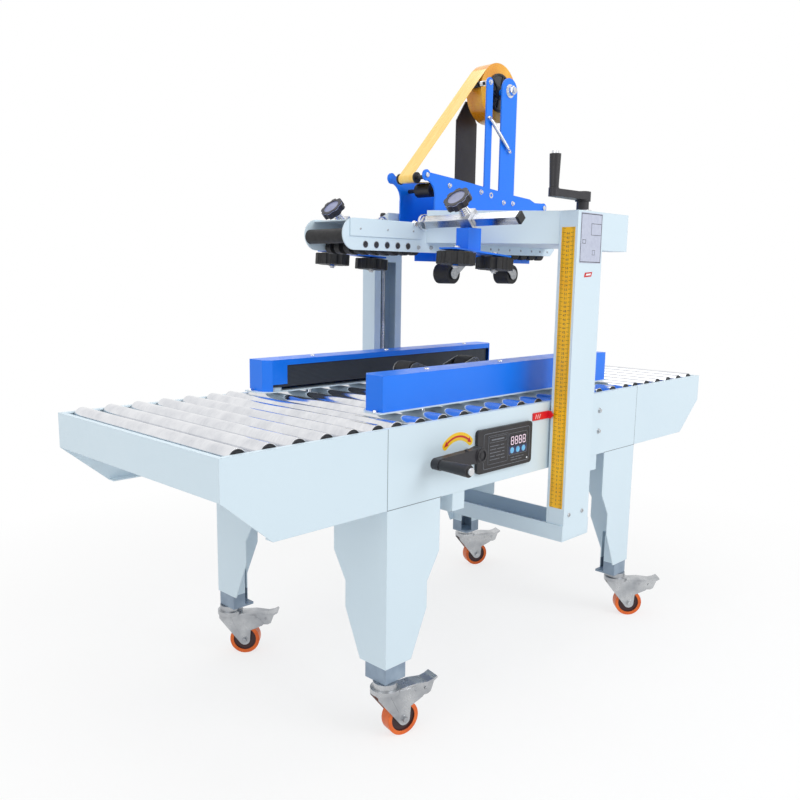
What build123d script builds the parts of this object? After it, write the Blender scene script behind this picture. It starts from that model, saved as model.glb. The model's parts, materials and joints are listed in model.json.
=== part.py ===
from build123d import *
import math
import os

# Semi-automatic case sealer with side drive belts, a lifting mast that carries the upper
# tape head, a lower tape head in the roller bed and two short roller tables.
# +X is the way the carton travels, -Y is the side with the controls, and the floor is z = 0.

# Overall sizes, in millimetres
table_length = 1770.0
table_width = 608.0
table_height = 670.0
main_length = 988.0

# Folded sheet of the table
sheet = 3.0
side_depth = 166.0
end_depth = 76.0
slant_run = 108.0
top_flange = 12.0
bottom_flange = 22.0

# Legs
leg_foot_z = 164.0
leg_top_width = 160.0
leg_mid_width = 123.0
leg_foot_width = 77.0
leg_step_top_z = 386.0
leg_step_bottom_z = 325.0
leg_waist_z = 267.0
foot_tube_side = 60.0
foot_tube_top_z = 240.0
foot_tube_bottom_z = 128.0
foot_tube_cut = 25.0

# Casters
wheel_radius = 37.5
wheel_width = 28.0
wheel_hub_radius = 28.5
caster_trail = 38.0
caster_offset = 12.0
swivel_gap = 0.3
swivel_ring_radius = 32.0
fork_inner_half = 15.5
fork_sheet = 3.0
axle_boss_radius = 14.0
pedal_reach = 124.0

# Rollers
roller_radius = 19.0
roller_center_z = 660.0
roller_shaft_radius = 5.5
end_table_rollers = 6
end_table_pitch = 66.0
bed_rollers = 14
bed_pitch = 70.0
tape_gap_half = 58.0
rail_x0 = -211.0
rail_x1 = 351.0

# Mast
column_left_x = 62.0
column_width = 111.0
column_depth = 50.0
column_gap = 5.0
column_wall = 3.0
column_slot_width = 62.0
column_bottom_z = 330.0
column_top_z = 1121.0
tie_height = 40.0
screw_radius = 9.0
running_gap = 0.1

# Upper head
head_half_width = 65.0
head_nose_x = -400.0
head_tail_x = 410.0
head_bottom_z = 1022.0
head_top_z = 1091.0
beam_bottom_z = 1045.0
beam_left_x = -131.0
beam_right_x = 366.0
beam_box_x = 290.0
beam_box_bottom_z = 1032.0

# Upper and lower tape heads
reel_x = 184.0
reel_z = 1440.0
reel_radius = 74.0
reel_hub_radius = 48.0
spindle_radius = 8.0
tape_half_width = 24.0
web_roller_x = -128.0
web_roller_z = 1199.0
web_roller_radius = 10.0
nip_roller_x = 102.0
nip_roller_z = 1449.0
nip_roller_radius = 7.5
knurl_roller_x = -66.0
knurl_roller_z = 1176.0
knurl_roller_radius = 17.0
web_gap = 0.3
web_thickness = 0.8
head_plate_y = 56.0
inner_plate_y = 34.0
head_plate_sheet = 4.0
head_plate_left_x = -97.0
head_plate_right_x = 345.0
head_plate_bottom_z = 1052.0
reel_arm_width = 64.0
nip_arm_width = 24.0
back_strip_x0 = 108.0
back_strip_x1 = 192.0
tie_rod_radius = 6.0
tie_rods = ((-45.0, 1070.0), (325.0, 1068.0))
arm_y = 26.5
arm_pivot_radius = 5.0
tape_roller_radius = 26.0
upper_rollers = (20.0, 272.0)
upper_roller_z = 974.0
upper_pivots = (100.0, 192.0)
upper_pivot_z = 1034.0
lower_rollers = (-120.0, 110.0)
lower_roller_z = 730.0
lower_pivots = (-40.0, 30.0)
lower_pivot_z = 668.0

# Side drive units
drive_half_length = 438.0
drive_inner_y = 163.0
drive_width = 68.0
drive_bottom_z = 687.0
drive_top_z = 763.0
drive_lip = 14.0
drive_guard_length = 63.0
drive_corner_cut = 18.0
drive_base_overhang = 12.0
belt_radius = 26.0
belt_height = 56.0
post_x = 280.0
width_screw_x = -250.0
width_screw_z = 588.0
guide_rod_z = 606.0
guide_rod_radius = 8.0

# Carton presser
press_x = -147.0
press_roller_offset = 29.0
press_y = 208.0
press_roller_radius = 44.0
press_roller_height = 27.0
press_roller_lobes = 10
press_lobe_radius = 9.0
press_tilt_deg = 4.0
press_roller_pitch = 140.0
press_roller_z = 990.0
press_bar_z = 1092.0
press_bar_side = 20.0
knob_radius = 31.0
knob_height = 18.0
knob_offset = 58.0

# Cranks, panel and pointer
height_crank_reach = 122.0
width_crank_reach = 132.0
crank_hub_radius = 18.0
crank_neck_radius = 14.5
crank_hub_height = 22.0
height_neck = 22.0
width_neck = 6.0
grip_radius = 13.0
grip_root_radius = 10.5
grip_length = 73.0
panel_x0 = -222.0
panel_x1 = -18.0
panel_z0 = 534.0
panel_z1 = 633.0
panel_corner = 9.0
panel_thickness = 8.0
pointer_x0 = -8.0
pointer_x1 = 56.0
pointer_z0 = 630.0
pointer_z1 = 648.0

half_length = table_length / 2
half_width = table_width / 2
half_main = main_length / 2
column_inner_y = half_width + column_gap
column_outer_y = column_inner_y + column_depth
column_right_x = column_left_x + column_width
column_center_x = column_left_x + column_width / 2
screw_y = column_inner_y + column_depth / 2
panel_bottom_z = table_height - side_depth
inner_y = half_width - sheet
roller_end_y = half_width - top_flange - 3
crank_seat_y = half_width + 20
crank_reach = 102.0
centerline_y = (crank_seat_y + crank_reach - column_outer_y) / 2


def block(x0, x1, y0, y1, z0, z1):
    """A box between two corners."""
    center = ((x0 + x1) / 2, (y0 + y1) / 2, (z0 + z1) / 2)
    return Pos(*center) * Box(abs(x1 - x0), abs(y1 - y0), abs(z1 - z0))


def rod_y(x, y0, y1, z, radius):
    return Pos(x, (y0 + y1) / 2, z) * Rot(90, 0, 0) * Cylinder(radius, abs(y1 - y0))


def rod_z(x, y, z0, z1, radius):
    return Pos(x, y, (z0 + z1) / 2) * Cylinder(radius, abs(z1 - z0))


def plate_xz(points, y0, y1):
    """A flat plate outlined in X and Z, between two Y planes."""
    face = make_face(Plane.XZ * Polyline(*points, close=True))
    return Pos(0, min(y0, y1), 0) * extrude(face, abs(y1 - y0), dir=(0, 1, 0))


def plate_yz(points, x0, x1):
    """A flat plate outlined in Y and Z, between two X planes."""
    face = make_face(Plane.YZ * Polyline(*points, close=True))
    return Pos(min(x0, x1), 0, 0) * extrude(face, abs(x1 - x0), dir=(1, 0, 0))


def plate_xy(points, z0, z1):
    """A flat plate outlined in X and Y, between two heights."""
    face = make_face(Polyline(*points, close=True))
    return Pos(0, 0, z0) * extrude(face, z1 - z0, dir=(0, 0, 1))


def flip_y(shape):
    return mirror(shape, about=Plane.XZ)


def save(name, *solids):
    """Writes one node, as a single solid or as several that stay apart."""
    placed = [Pos(0, centerline_y, 0) * solid for solid in solids]
    shape = placed[0] if len(placed) == 1 else Compound(children=placed)
    export_step(shape, "parts/" + name + ".step")


def side_panel():
    """Near side of the drive section: a folded channel with its flanges turned in."""
    web = block(-half_main, half_main, -half_width, -half_width + sheet, panel_bottom_z, table_height)
    top = block(-half_main, half_main, -half_width, -half_width + top_flange, table_height - sheet, table_height)
    bottom = block(
        -half_main, half_main, -half_width, -half_width + bottom_flange, panel_bottom_z, panel_bottom_z + sheet
    )
    crank_hole = rod_y(width_screw_x, -half_width - 1, -half_width + sheet + 1, width_screw_z, screw_radius + 1.0)
    return web + top + bottom - crank_hole


def end_table():
    """Infeed table: two deep sides, slanted below, joined by a shallow end plate."""
    x0 = -half_length
    x1 = -half_main
    outline = [
        (x0, table_height),
        (x1, table_height),
        (x1, panel_bottom_z),
        (x0 + slant_run, panel_bottom_z),
        (x0, table_height - end_depth),
    ]
    near = plate_xz(outline, -half_width, -half_width + sheet)
    near += block(x0, x1, -half_width, -half_width + top_flange, table_height - sheet, table_height)
    near += block(
        x0 + slant_run, x1, -half_width, -half_width + bottom_flange, panel_bottom_z, panel_bottom_z + sheet
    )
    end = block(x0, x0 + sheet, -half_width, half_width, table_height - end_depth, table_height)
    end += block(x0, x0 + top_flange, -half_width, half_width, table_height - sheet, table_height)
    return near + flip_y(near) + end


def leg():
    """Leg at the infeed near corner: an L of tapered sheet with the caster tube welded inside."""
    profile = [
        (0, panel_bottom_z),
        (leg_top_width, panel_bottom_z),
        (leg_top_width, leg_step_top_z),
        (leg_mid_width, leg_step_bottom_z),
        (leg_mid_width, leg_waist_z),
        (leg_foot_width, leg_foot_z),
        (0, leg_foot_z),
    ]
    side = plate_xz(profile, 0, sheet)
    across = plate_yz(profile, 0, sheet)
    corner = side + across
    tube = block(sheet, sheet + foot_tube_side, sheet, sheet + foot_tube_side, foot_tube_bottom_z, foot_tube_top_z)
    tube -= block(
        2 * sheet, foot_tube_side, 2 * sheet, foot_tube_side, foot_tube_bottom_z + 6, foot_tube_top_z + 1
    )
    cut = sheet + foot_tube_side - foot_tube_cut
    end = sheet + foot_tube_side + 1
    tube -= block(cut, end, cut, end, foot_tube_bottom_z + 6, foot_tube_top_z + 1)
    return Pos(-half_main, -half_width, 0) * (corner + tube)


def caster_fork():
    """Fork with its stacked swivel rings and brake pedal, trailing towards +X before it is turned."""
    outer = fork_inner_half + fork_sheet
    ring_top = foot_tube_bottom_z - swivel_gap
    crown_z = 104.0
    head = rod_z(0, 0, crown_z, crown_z + 10, swivel_ring_radius)
    head += rod_z(0, 0, crown_z + 10, ring_top, swivel_ring_radius - 6)
    crown = block(-26, caster_trail + 16, -outer, outer, crown_z - 4, crown_z)
    reach = math.hypot(caster_trail + 26, wheel_radius - 95)
    lean = math.atan2(wheel_radius - 95, caster_trail + 26)
    touch = lean + math.acos(axle_boss_radius / reach) + math.pi
    low_left = tangent_point(caster_trail, wheel_radius, axle_boss_radius, touch)
    cheek_points = [
        (-26, crown_z),
        (-26, 95),
        low_left,
        (caster_trail + axle_boss_radius, wheel_radius),
        (caster_trail + 16, 63),
        (84, 76),
        (88, 80),
        (80, 92),
        (62, crown_z),
    ]
    cheek = plate_xz(cheek_points, -outer, -fork_inner_half)
    cheek += rod_y(caster_trail, -outer, -fork_inner_half, wheel_radius, axle_boss_radius)
    axle = rod_y(caster_trail, -outer - 3, outer + 3, wheel_radius, 4)
    tread_z = crown_z + 4
    tip = pedal_reach
    pedal = plate_xz(
        [
            (20, crown_z - 2),
            (30, tread_z),
            (66, tread_z + 2),
            (tip - 26, tread_z - 2),
            (tip - 12, tread_z + 1),
            (tip - 2, tread_z + 6),
            (tip, tread_z + 2),
            (tip - 10, tread_z - 4),
            (tip - 26, tread_z - 7),
            (66, tread_z - 3),
        ],
        -outer + 1,
        outer - 1,
    )
    flank = plate_xz(
        [(44, 90), (44, crown_z), (98, crown_z), (tip - 10, crown_z), (106, 83), (98, 79), (86, 79)],
        -outer + 1,
        -outer + 4,
    )
    return head + crown + cheek + flip_y(cheek) + axle + pedal + flank + flip_y(flank)


def caster_wheel():
    """Tread on a recessed hub with a boss that runs on the axle."""
    half = wheel_width / 2
    wheel = rod_y(caster_trail, -half, half, wheel_radius, wheel_radius)
    for side in (-1, 1):
        wheel -= rod_y(caster_trail, side * (half - 3), side * (half + 1), wheel_radius, wheel_hub_radius)
    wheel += rod_y(caster_trail, -half - 1.2, half + 1.2, wheel_radius, 12)
    return wheel - rod_y(caster_trail, -20, 20, wheel_radius, 4 + running_gap)


def column():
    """Near column: a box channel whose slot faces the table, with a cap at the top."""
    x0 = column_left_x
    x1 = column_right_x
    y0 = -column_outer_y
    y1 = -column_inner_y
    body = block(x0, x1, y0, y1, column_bottom_z, column_top_z)
    body -= block(
        x0 + column_wall,
        x1 - column_wall,
        y0 + column_wall,
        y1 - column_wall,
        column_bottom_z - 1,
        column_top_z - column_wall,
    )
    slot_x0 = column_center_x - column_slot_width / 2
    body -= block(
        slot_x0, slot_x0 + column_slot_width, y1 - column_wall - 1, y1 + 1, column_bottom_z - 1, beam_bottom_z - 40
    )
    return body - rod_z(column_center_x, -screw_y, column_top_z - 10, column_top_z + 1, screw_radius + 1)


def tie_channel():
    """Trough under both columns that carries the chain between the two lift screws."""
    z0 = column_bottom_z - sheet
    outer = block(
        column_left_x - sheet, column_right_x + sheet, -column_outer_y, column_outer_y, z0, z0 + tie_height
    )
    inner = block(
        column_left_x, column_right_x, -column_outer_y - 1, column_outer_y + 1, z0 + sheet, z0 + tie_height + 1
    )
    trough = outer - inner
    for side in (-1, 1):
        trough -= rod_z(column_center_x, side * screw_y, z0 - 1, z0 + sheet + 1, screw_radius + running_gap)
    return trough


def lift_screw(side, top_z):
    return rod_z(column_center_x, side * screw_y, column_bottom_z - sheet, top_z, screw_radius)


def mast_guide():
    """Nut block on the near panel that reaches through the column's slot to the screw."""
    guide = block(
        column_center_x - 22,
        column_center_x + 22,
        -screw_y - 14,
        -half_width,
        panel_bottom_z + 30,
        panel_bottom_z + 130,
    )
    bore = rod_z(
        column_center_x, -screw_y, panel_bottom_z, panel_bottom_z + 200, screw_radius + running_gap
    )
    return guide - bore


def head_beam():
    """Near half of the cross beam: it widens from the column to the head and wraps the column's side."""
    wing = plate_xy(
        [
            (column_left_x, -column_inner_y),
            (beam_left_x, -head_half_width),
            (beam_right_x, -head_half_width),
            (beam_box_x, -column_inner_y),
        ],
        beam_bottom_z,
        column_top_z,
    )
    box = block(
        column_right_x, beam_box_x, -column_outer_y, -column_inner_y, beam_box_bottom_z, column_top_z
    )
    return wing + box


def head_plate():
    """Near side plate of the head, with a rounded nose and a tapered tail."""
    y0 = -head_half_width
    radius = (head_top_z - head_bottom_z) / 2
    mid_z = (head_top_z + head_bottom_z) / 2
    front = block(head_nose_x + radius, beam_left_x, y0, y0 + sheet, head_bottom_z, head_top_z)
    nose = rod_y(head_nose_x + radius, y0, y0 + sheet, mid_z, radius)
    back = plate_xz(
        [
            (beam_left_x, head_top_z),
            (head_tail_x - 40, head_top_z - 10),
            (head_tail_x, head_top_z - 30),
            (head_tail_x, head_top_z - 48),
            (head_tail_x - 20, head_bottom_z + 4),
            (beam_left_x, head_bottom_z),
        ],
        y0,
        y0 + sheet,
    )
    raised = block(-380, beam_left_x - 19, y0 - 3, y0, 1052, 1088)
    return front + nose + back + raised


def head_deck():
    """Top tray between the side plates, open where the tape head drops through."""
    inner = head_half_width - sheet
    deck = block(-372, web_roller_x - 20, -inner, inner, head_top_z - 6, head_top_z - 3)
    rear = block(350, head_tail_x - 30, -inner, inner, head_top_z - 24, head_top_z - 21)
    return deck + rear


def skate_wheels():
    """Rows of small wheels on cross axles along the underside of the head."""
    inner = head_half_width - sheet
    wheels = []
    for i in range(6):
        x = -332 + 34.7 * i
        axle = rod_y(x, -inner, inner, 1035, 4)
        for y in (-46, -16, 16, 46):
            axle += rod_y(x, y - 8, y + 8, 1030, 15)
        wheels.append(axle)
    for i in range(7):
        x = 121 + 38.7 * i
        for side in (-1, 1):
            stub = rod_y(x, side * 40, side * inner, 1035, 4)
            wheels.append(stub + rod_y(x, side * 42, side * 58, 1030, 17))
    return wheels


def tape_plate_outline():
    """Side plate of the upper tape head: a hollowed front edge and a lobe at either end."""
    left = head_plate_left_x
    right = head_plate_right_x
    lobe_x = web_roller_x
    lobe_z = web_roller_z + 4
    edges = [
        Polyline(
            (lobe_x + 8, lobe_z + 7),
            (-24, 1203),
            (nip_roller_x - nip_arm_width / 2, 1193),
            (reel_x + reel_arm_width / 2, 1181),
            (290, 1176),
            (314, 1168),
            (357, 1169),
            (368, 1150),
            (right, 1118),
            (right, head_plate_bottom_z),
            (left, head_plate_bottom_z),
            (left, 1150),
        ),
        ThreePointArc((left, 1150), (left - 7, 1178), (lobe_x - 4, lobe_z - 11)),
        Line((lobe_x - 4, lobe_z - 11), (lobe_x + 8, lobe_z + 7)),
    ]
    return make_face(Plane.XZ * Curve(children=edges))


def tape_plate():
    """Near plate of the upper tape head with its two uprights and the tie rods to the housing."""
    y0 = -head_plate_y - head_plate_sheet
    y1 = -head_plate_y
    plate = Pos(0, y0, 0) * extrude(tape_plate_outline(), head_plate_sheet, dir=(0, 1, 0))
    plate += rod_y(web_roller_x, y0, y1, web_roller_z + 4, 13)
    plate += rod_y(357, y0, y1, 1157, 13)
    half = reel_arm_width / 2
    plate += block(reel_x - half, reel_x + half, y0, y1, 1150, reel_z)
    plate += rod_y(reel_x, y0, y1, reel_z, half)
    half = nip_arm_width / 2
    plate += block(nip_roller_x - half, nip_roller_x + half, y0, y1, 1150, nip_roller_z)
    plate += rod_y(nip_roller_x, y0, y1, nip_roller_z, half)
    plate += rod_y(reel_x, y0 - 9, tape_half_width + 8, reel_z, spindle_radius)
    inner = -inner_plate_y - head_plate_sheet
    plate += plate_xz([(-62, 1004), (330, 1004), (335, 1080), (-62, 1080)], inner, -inner_plate_y)
    for x, z in tie_rods:
        plate += rod_y(x, -head_half_width + sheet, head_half_width - sheet, z, tie_rod_radius)
    return plate


def tape_back_plate():
    """Far plate of the upper tape head with the pivots of the tape arms."""
    y0 = head_plate_y
    y1 = head_plate_y + head_plate_sheet
    plate = Pos(0, y0, 0) * extrude(tape_plate_outline(), head_plate_sheet, dir=(0, 1, 0))
    plate += rod_y(web_roller_x, y0, y1, web_roller_z + 4, 13)
    inner = inner_plate_y + head_plate_sheet
    plate += plate_xz([(-62, 1004), (330, 1004), (335, 1080), (-62, 1080)], inner_plate_y, inner)
    for x in upper_pivots:
        plate += rod_y(x, -inner_plate_y, inner_plate_y, upper_pivot_z, arm_pivot_radius)
    for x, z in ((-20.0, 1066.0), (290.0, 1066.0)):
        plate += rod_y(x, inner_plate_y, y1, z, tie_rod_radius + 2)
    for x, z in tie_rods:
        plate -= rod_y(x, 0, head_half_width, z, tie_rod_radius + running_gap)
    return plate


def reel_back_strip():
    """Dark upright behind the roll, bolted to the inner face of the far plate."""
    mid = (back_strip_x0 + back_strip_x1) / 2
    outline = [
        (back_strip_x0, 1100),
        (back_strip_x1, 1100),
        (back_strip_x1, 1372),
        (mid + 6, 1424),
        (mid - 6, 1424),
        (back_strip_x0, 1372),
    ]
    return plate_xz(outline, head_plate_y - 3, head_plate_y)


def tape_reel():
    roll = rod_y(reel_x, -tape_half_width, tape_half_width, reel_z, reel_radius)
    hub = rod_y(reel_x, -tape_half_width - 4, tape_half_width + 4, reel_z, reel_hub_radius)
    return roll + hub - rod_y(reel_x, -40, 40, reel_z, spindle_radius + running_gap)


def tangent_point(center_x, center_z, distance, angle):
    return (center_x + distance * math.cos(angle), center_z + distance * math.sin(angle))


def tape_web():
    """The strip of tape: off the top of the roll, down round the front roller and in to the knurled one."""
    run_x = web_roller_x - reel_x
    run_z = web_roller_z - reel_z
    inside = web_roller_radius + web_gap
    outside = inside + web_thickness
    heading = math.atan2(run_z, run_x)
    lean = math.acos((reel_radius - web_roller_radius) / math.hypot(run_x, run_z))
    start = heading - lean
    top = plate_xz(
        [
            tangent_point(reel_x, reel_z, reel_radius + web_gap, start),
            tangent_point(reel_x, reel_z, reel_radius + web_gap + web_thickness, start),
            tangent_point(web_roller_x, web_roller_z, outside, start),
            tangent_point(web_roller_x, web_roller_z, inside, start),
        ],
        -tape_half_width,
        tape_half_width,
    )
    wrap = rod_y(web_roller_x, -tape_half_width, tape_half_width, web_roller_z, outside)
    wrap -= rod_y(web_roller_x, -tape_half_width - 1, tape_half_width + 1, web_roller_z, inside)
    run_x = knurl_roller_x - web_roller_x
    run_z = knurl_roller_z - web_roller_z
    reach = outside + knurl_roller_radius + web_gap
    leave = math.atan2(run_z, run_x) + math.asin(reach / math.hypot(run_x, run_z)) - math.pi / 2
    corner = tangent_point(web_roller_x, web_roller_z, 40, start)
    mouth = tangent_point(web_roller_x, web_roller_z, 40, leave)
    far_side = (web_roller_x + 40, web_roller_z + 60)
    wrap -= plate_xz([(web_roller_x, web_roller_z), corner, far_side, mouth], -40, 40)
    land = leave + math.pi
    low = plate_xz(
        [
            tangent_point(web_roller_x, web_roller_z, outside, leave),
            tangent_point(web_roller_x, web_roller_z, inside, leave),
            tangent_point(knurl_roller_x, knurl_roller_z, knurl_roller_radius + web_gap + web_thickness, land),
            tangent_point(knurl_roller_x, knurl_roller_z, knurl_roller_radius + web_gap, land),
        ],
        -tape_half_width,
        tape_half_width,
    )
    return top + wrap + low


def tape_guides():
    """Front roller with its end discs, nip roller against the roll and knurled roller, each on its axle."""
    width = tape_half_width
    seat_y = -head_plate_y
    front = rod_y(web_roller_x, -width, width, web_roller_z, web_roller_radius)
    front += rod_y(web_roller_x, -width - 5, -width - 1, web_roller_z, 13)
    front += rod_y(web_roller_x, width + 1, width + 5, web_roller_z, 13)
    front += rod_y(web_roller_x, seat_y, width + 6, web_roller_z, 5)
    nip = rod_y(nip_roller_x, -width, width, nip_roller_z, nip_roller_radius)
    nip += rod_y(nip_roller_x, seat_y, width, nip_roller_z, 4)
    knurled = rod_y(knurl_roller_x, -width, width, knurl_roller_z, knurl_roller_radius)
    knurled += rod_y(knurl_roller_x, seat_y, head_plate_y, knurl_roller_z, 5)
    return [front, nip, knurled]


def tape_arm(x, z, pivot_x, pivot_z):
    """Pair of swing arms with a tape roller between their ends."""
    length = math.hypot(x - pivot_x, z - pivot_z)
    angle = math.degrees(math.atan2(z - pivot_z, x - pivot_x))
    bar = Pos(length / 2, 0, 0) * Box(length, 3, 20)
    bar += Rot(90, 0, 0) * Cylinder(12, 3)
    bar += Pos(length, 0, 0) * Rot(90, 0, 0) * Cylinder(14, 3)
    arm = Pos(pivot_x, 0, pivot_z) * Rot(0, -angle, 0) * bar
    frame = Pos(0, -arm_y, 0) * arm + Pos(0, arm_y, 0) * arm
    frame += rod_y(pivot_x, -arm_y, arm_y, pivot_z, 9)
    frame += rod_y(x, -arm_y, arm_y, z, 6)
    frame -= rod_y(pivot_x, -60, 60, pivot_z, arm_pivot_radius + running_gap)
    roller = rod_y(x, -arm_y + 3, arm_y - 3, z, tape_roller_radius) - rod_y(x, -60, 60, z, 6 + running_gap)
    return frame, roller


def star_knob():
    """Hand knob with eight shallow lobes, its middle at the origin and its axis along Z."""
    body = Cylinder(knob_radius, knob_height)
    for i in range(8):
        angle = math.radians(45 * i)
        reach = knob_radius + 5
        body -= Pos(reach * math.cos(angle), reach * math.sin(angle), 0) * Cylinder(9, knob_height + 2)
    return body - Pos(0, 0, knob_height / 2 - 1) * Cylinder(knob_radius - 10, 3)


def press_tilt(shape, y):
    """Slopes the roller plate and its rollers a little down in the direction of travel."""
    top_z = press_roller_z + 35
    return Pos(press_x, y, top_z) * Rot(0, press_tilt_deg, 0) * Pos(-press_x, -y, -top_z) * shape


def press_unit():
    """Near carton presser: clamp on the bar, post, plate and knob."""
    y = -press_y
    mid_x = press_x + press_roller_offset
    plate = block(mid_x - 100, mid_x + 100, y - 25, y + 25, press_roller_z + 31, press_roller_z + 35)
    for dx in (-press_roller_pitch / 2, press_roller_pitch / 2):
        plate += rod_z(mid_x + dx, y, press_roller_z - 3, press_roller_z + 32, 6)
    plate = press_tilt(plate, y)
    post = block(press_x - 22, press_x + 22, y - 18, y + 18, press_roller_z + 33, press_bar_z - 18)
    clamp = Pos(press_x, y, press_bar_z) * Rot(0, 45, 0) * Box(36, 34, 36)
    slot = Pos(press_x, y, press_bar_z) * Rot(0, 45, 0) * Box(press_bar_side + 1, 60, press_bar_side + 1)
    unit = plate + post + clamp - slot
    tilt = Pos(press_x, y, press_bar_z) * Rot(0, -45, 0)
    stud_low = press_bar_side / 2 + 1
    stud_high = knob_offset - knob_height / 2 + 2
    stud = tilt * Pos(0, 0, (stud_low + stud_high) / 2) * Cylinder(6, stud_high - stud_low)
    knob = tilt * Pos(0, 0, knob_offset) * star_knob()
    return unit + stud + knob


def press_rollers():
    rollers = []
    for dx in (-press_roller_pitch / 2, press_roller_pitch / 2):
        x = press_x + press_roller_offset + dx
        wheel = rod_z(x, -press_y, press_roller_z, press_roller_z + press_roller_height, press_roller_radius)
        for i in range(press_roller_lobes):
            angle = 2 * math.pi * i / press_roller_lobes
            spot = tangent_point(x, -press_y, press_roller_radius + 4, angle)
            wheel -= rod_z(*spot, press_roller_z - 1, press_roller_z + press_roller_height + 1, press_lobe_radius)
        wheel -= rod_z(x, -press_y, press_roller_z - 5, press_roller_z + 40, 6 + running_gap)
        rollers.append(press_tilt(wheel, -press_y))
    return rollers


def press_bar(side):
    y0 = side * (head_half_width + 3)
    y1 = side * 352.0
    bar = Pos(press_x, (y0 + y1) / 2, press_bar_z) * Rot(0, 45, 0) * Box(
        press_bar_side, abs(y1 - y0), press_bar_side
    )
    return bar


def drive_outline(half_length, y_out, y_in, corner):
    """Plan of a drive unit: a long strip whose inner corners are cut off."""
    return [
        (-half_length, y_out),
        (half_length, y_out),
        (half_length, y_in - corner),
        (half_length - corner, y_in),
        (-half_length + corner, y_in),
        (-half_length, y_in - corner),
    ]


def drive_cover():
    """Near belt cover: lid, outer side and both ends, with a narrow lip over the belt."""
    y_out = -drive_inner_y - drive_width
    y_in = -drive_inner_y
    outer = drive_outline(drive_half_length, y_out, y_in, drive_corner_cut)
    inner = drive_outline(drive_half_length - 3, y_out + 3, y_in - 2, drive_corner_cut)
    cover = plate_xy(outer, drive_bottom_z, drive_top_z)
    cover -= plate_xy(inner, drive_bottom_z - 1, drive_top_z - 3)
    window_x0 = -drive_half_length + drive_guard_length
    window_z1 = drive_top_z - drive_lip
    cover -= block(window_x0, drive_half_length - 20, y_in - 6, y_in + 1, drive_bottom_z - 1, window_z1)
    cover -= block(
        -drive_half_length + 19, window_x0 + 1, y_in - 6, y_in + 1, drive_bottom_z - 1, drive_bottom_z + 16
    )
    return cover


def drive_belt():
    """Closed loop of belt round the two end drums."""
    end_x = drive_half_length - 14 - belt_radius
    y_mid = -drive_inner_y - 3.5 - belt_radius
    loop = SlotCenterToCenter(2 * end_x, 2 * belt_radius)
    inner = SlotCenterToCenter(2 * end_x, 2 * (belt_radius - 4))
    belt = extrude(loop - inner, belt_height)
    return Pos(0, y_mid, drive_bottom_z + 9) * belt


def drive_drums():
    end_x = drive_half_length - 14 - belt_radius
    y_mid = -drive_inner_y - 3.5 - belt_radius
    return [
        rod_z(side * end_x, y_mid, drive_bottom_z, drive_bottom_z + 68, belt_radius - 4) for side in (-1, 1)
    ]


def drive_carriage():
    """Base plate of the drive unit with its posts and the blocks that ride the guide rods."""
    y_out = -drive_inner_y - drive_width
    y_in = -drive_inner_y
    y_mid = (y_out + y_in) / 2
    half = drive_half_length + drive_base_overhang
    outline = drive_outline(half, y_out - 4, y_in, drive_corner_cut + 6)
    base = plate_xy(outline, drive_bottom_z - 3, drive_bottom_z)
    for x in (-post_x, post_x):
        base += rod_z(x, y_mid, guide_rod_z, drive_bottom_z - 1, 6)
    base += block(-post_x - 18, width_screw_x + 18, y_mid - 20, y_mid + 20, 565, 625)
    base += block(post_x - 18, post_x + 18, y_mid - 20, y_mid + 20, 588, 625)
    for x in (-post_x, post_x):
        base -= rod_y(x, y_mid - 40, y_mid + 40, guide_rod_z, guide_rod_radius + running_gap)
    base -= rod_y(width_screw_x, y_mid - 40, y_mid + 40, width_screw_z, screw_radius - 2 + running_gap)
    for drum in drive_drums():
        base += drum
    return base


def crank_arm(reach, neck):
    """Crank seen from above with its hub at the origin and its arm towards -X."""
    arm = Pos(0, 0, crank_hub_height / 2) * Cylinder(crank_hub_radius, crank_hub_height)
    arm += Pos(0, 0, -neck / 2) * Cylinder(crank_neck_radius, neck)
    side = crank_hub_radius - 1.5
    boss = grip_radius - 1
    arm += plate_xy([(0, -side), (0, side), (-reach, boss), (-reach, -boss)], 3, crank_hub_height - 2)
    arm += Pos(-reach, 0, (3 + crank_hub_height) / 2) * Cylinder(boss, crank_hub_height - 3)
    tip_z = crank_hub_height + 1 + grip_length
    arm += Pos(-reach, 0, (crank_hub_height + crank_reach) / 2) * Cylinder(5, crank_reach - crank_hub_height)
    return arm + Pos(-reach, 0, (tip_z + crank_reach) / 2) * Cylinder(8, crank_reach - tip_z)


def crank_grip(reach):
    """Grip that turns on the crank's pin, a little thicker towards its free end."""
    middle = crank_hub_height + 0.5 + grip_length / 2
    grip = Pos(-reach, 0, middle) * Cone(grip_root_radius, grip_radius, grip_length)
    return grip - Pos(-reach, 0, 0) * Cylinder(5 + running_gap, 300)


os.makedirs("parts", exist_ok=True)

near_panel = side_panel()
save("side_panel_near", near_panel)
save("side_panel_far", flip_y(near_panel))
infeed = end_table()
save("infeed_table", infeed)
save("outfeed_table", mirror(infeed, about=Plane.YZ))

corner_leg = leg()
far_leg = flip_y(corner_leg)
save(
    "legs",
    corner_leg,
    far_leg,
    mirror(corner_leg, about=Plane.YZ),
    mirror(far_leg, about=Plane.YZ),
)

cross = block(254, 294, -half_width, half_width, panel_bottom_z - 40, panel_bottom_z)
save("cross_tubes", cross, mirror(cross, about=Plane.YZ))

end_roller_x = [-838 + end_table_pitch * i for i in range(end_table_rollers)]
for name, side in (("infeed_rollers", 1), ("outfeed_rollers", -1)):
    rollers = [rod_y(side * x, -roller_end_y, roller_end_y, roller_center_z, roller_radius) for x in end_roller_x]
    rollers = [
        roller + rod_y(side * x, -inner_y, inner_y, roller_center_z, roller_shaft_radius)
        for roller, x in zip(rollers, end_roller_x)
    ]
    save(name, *rollers)

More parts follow.
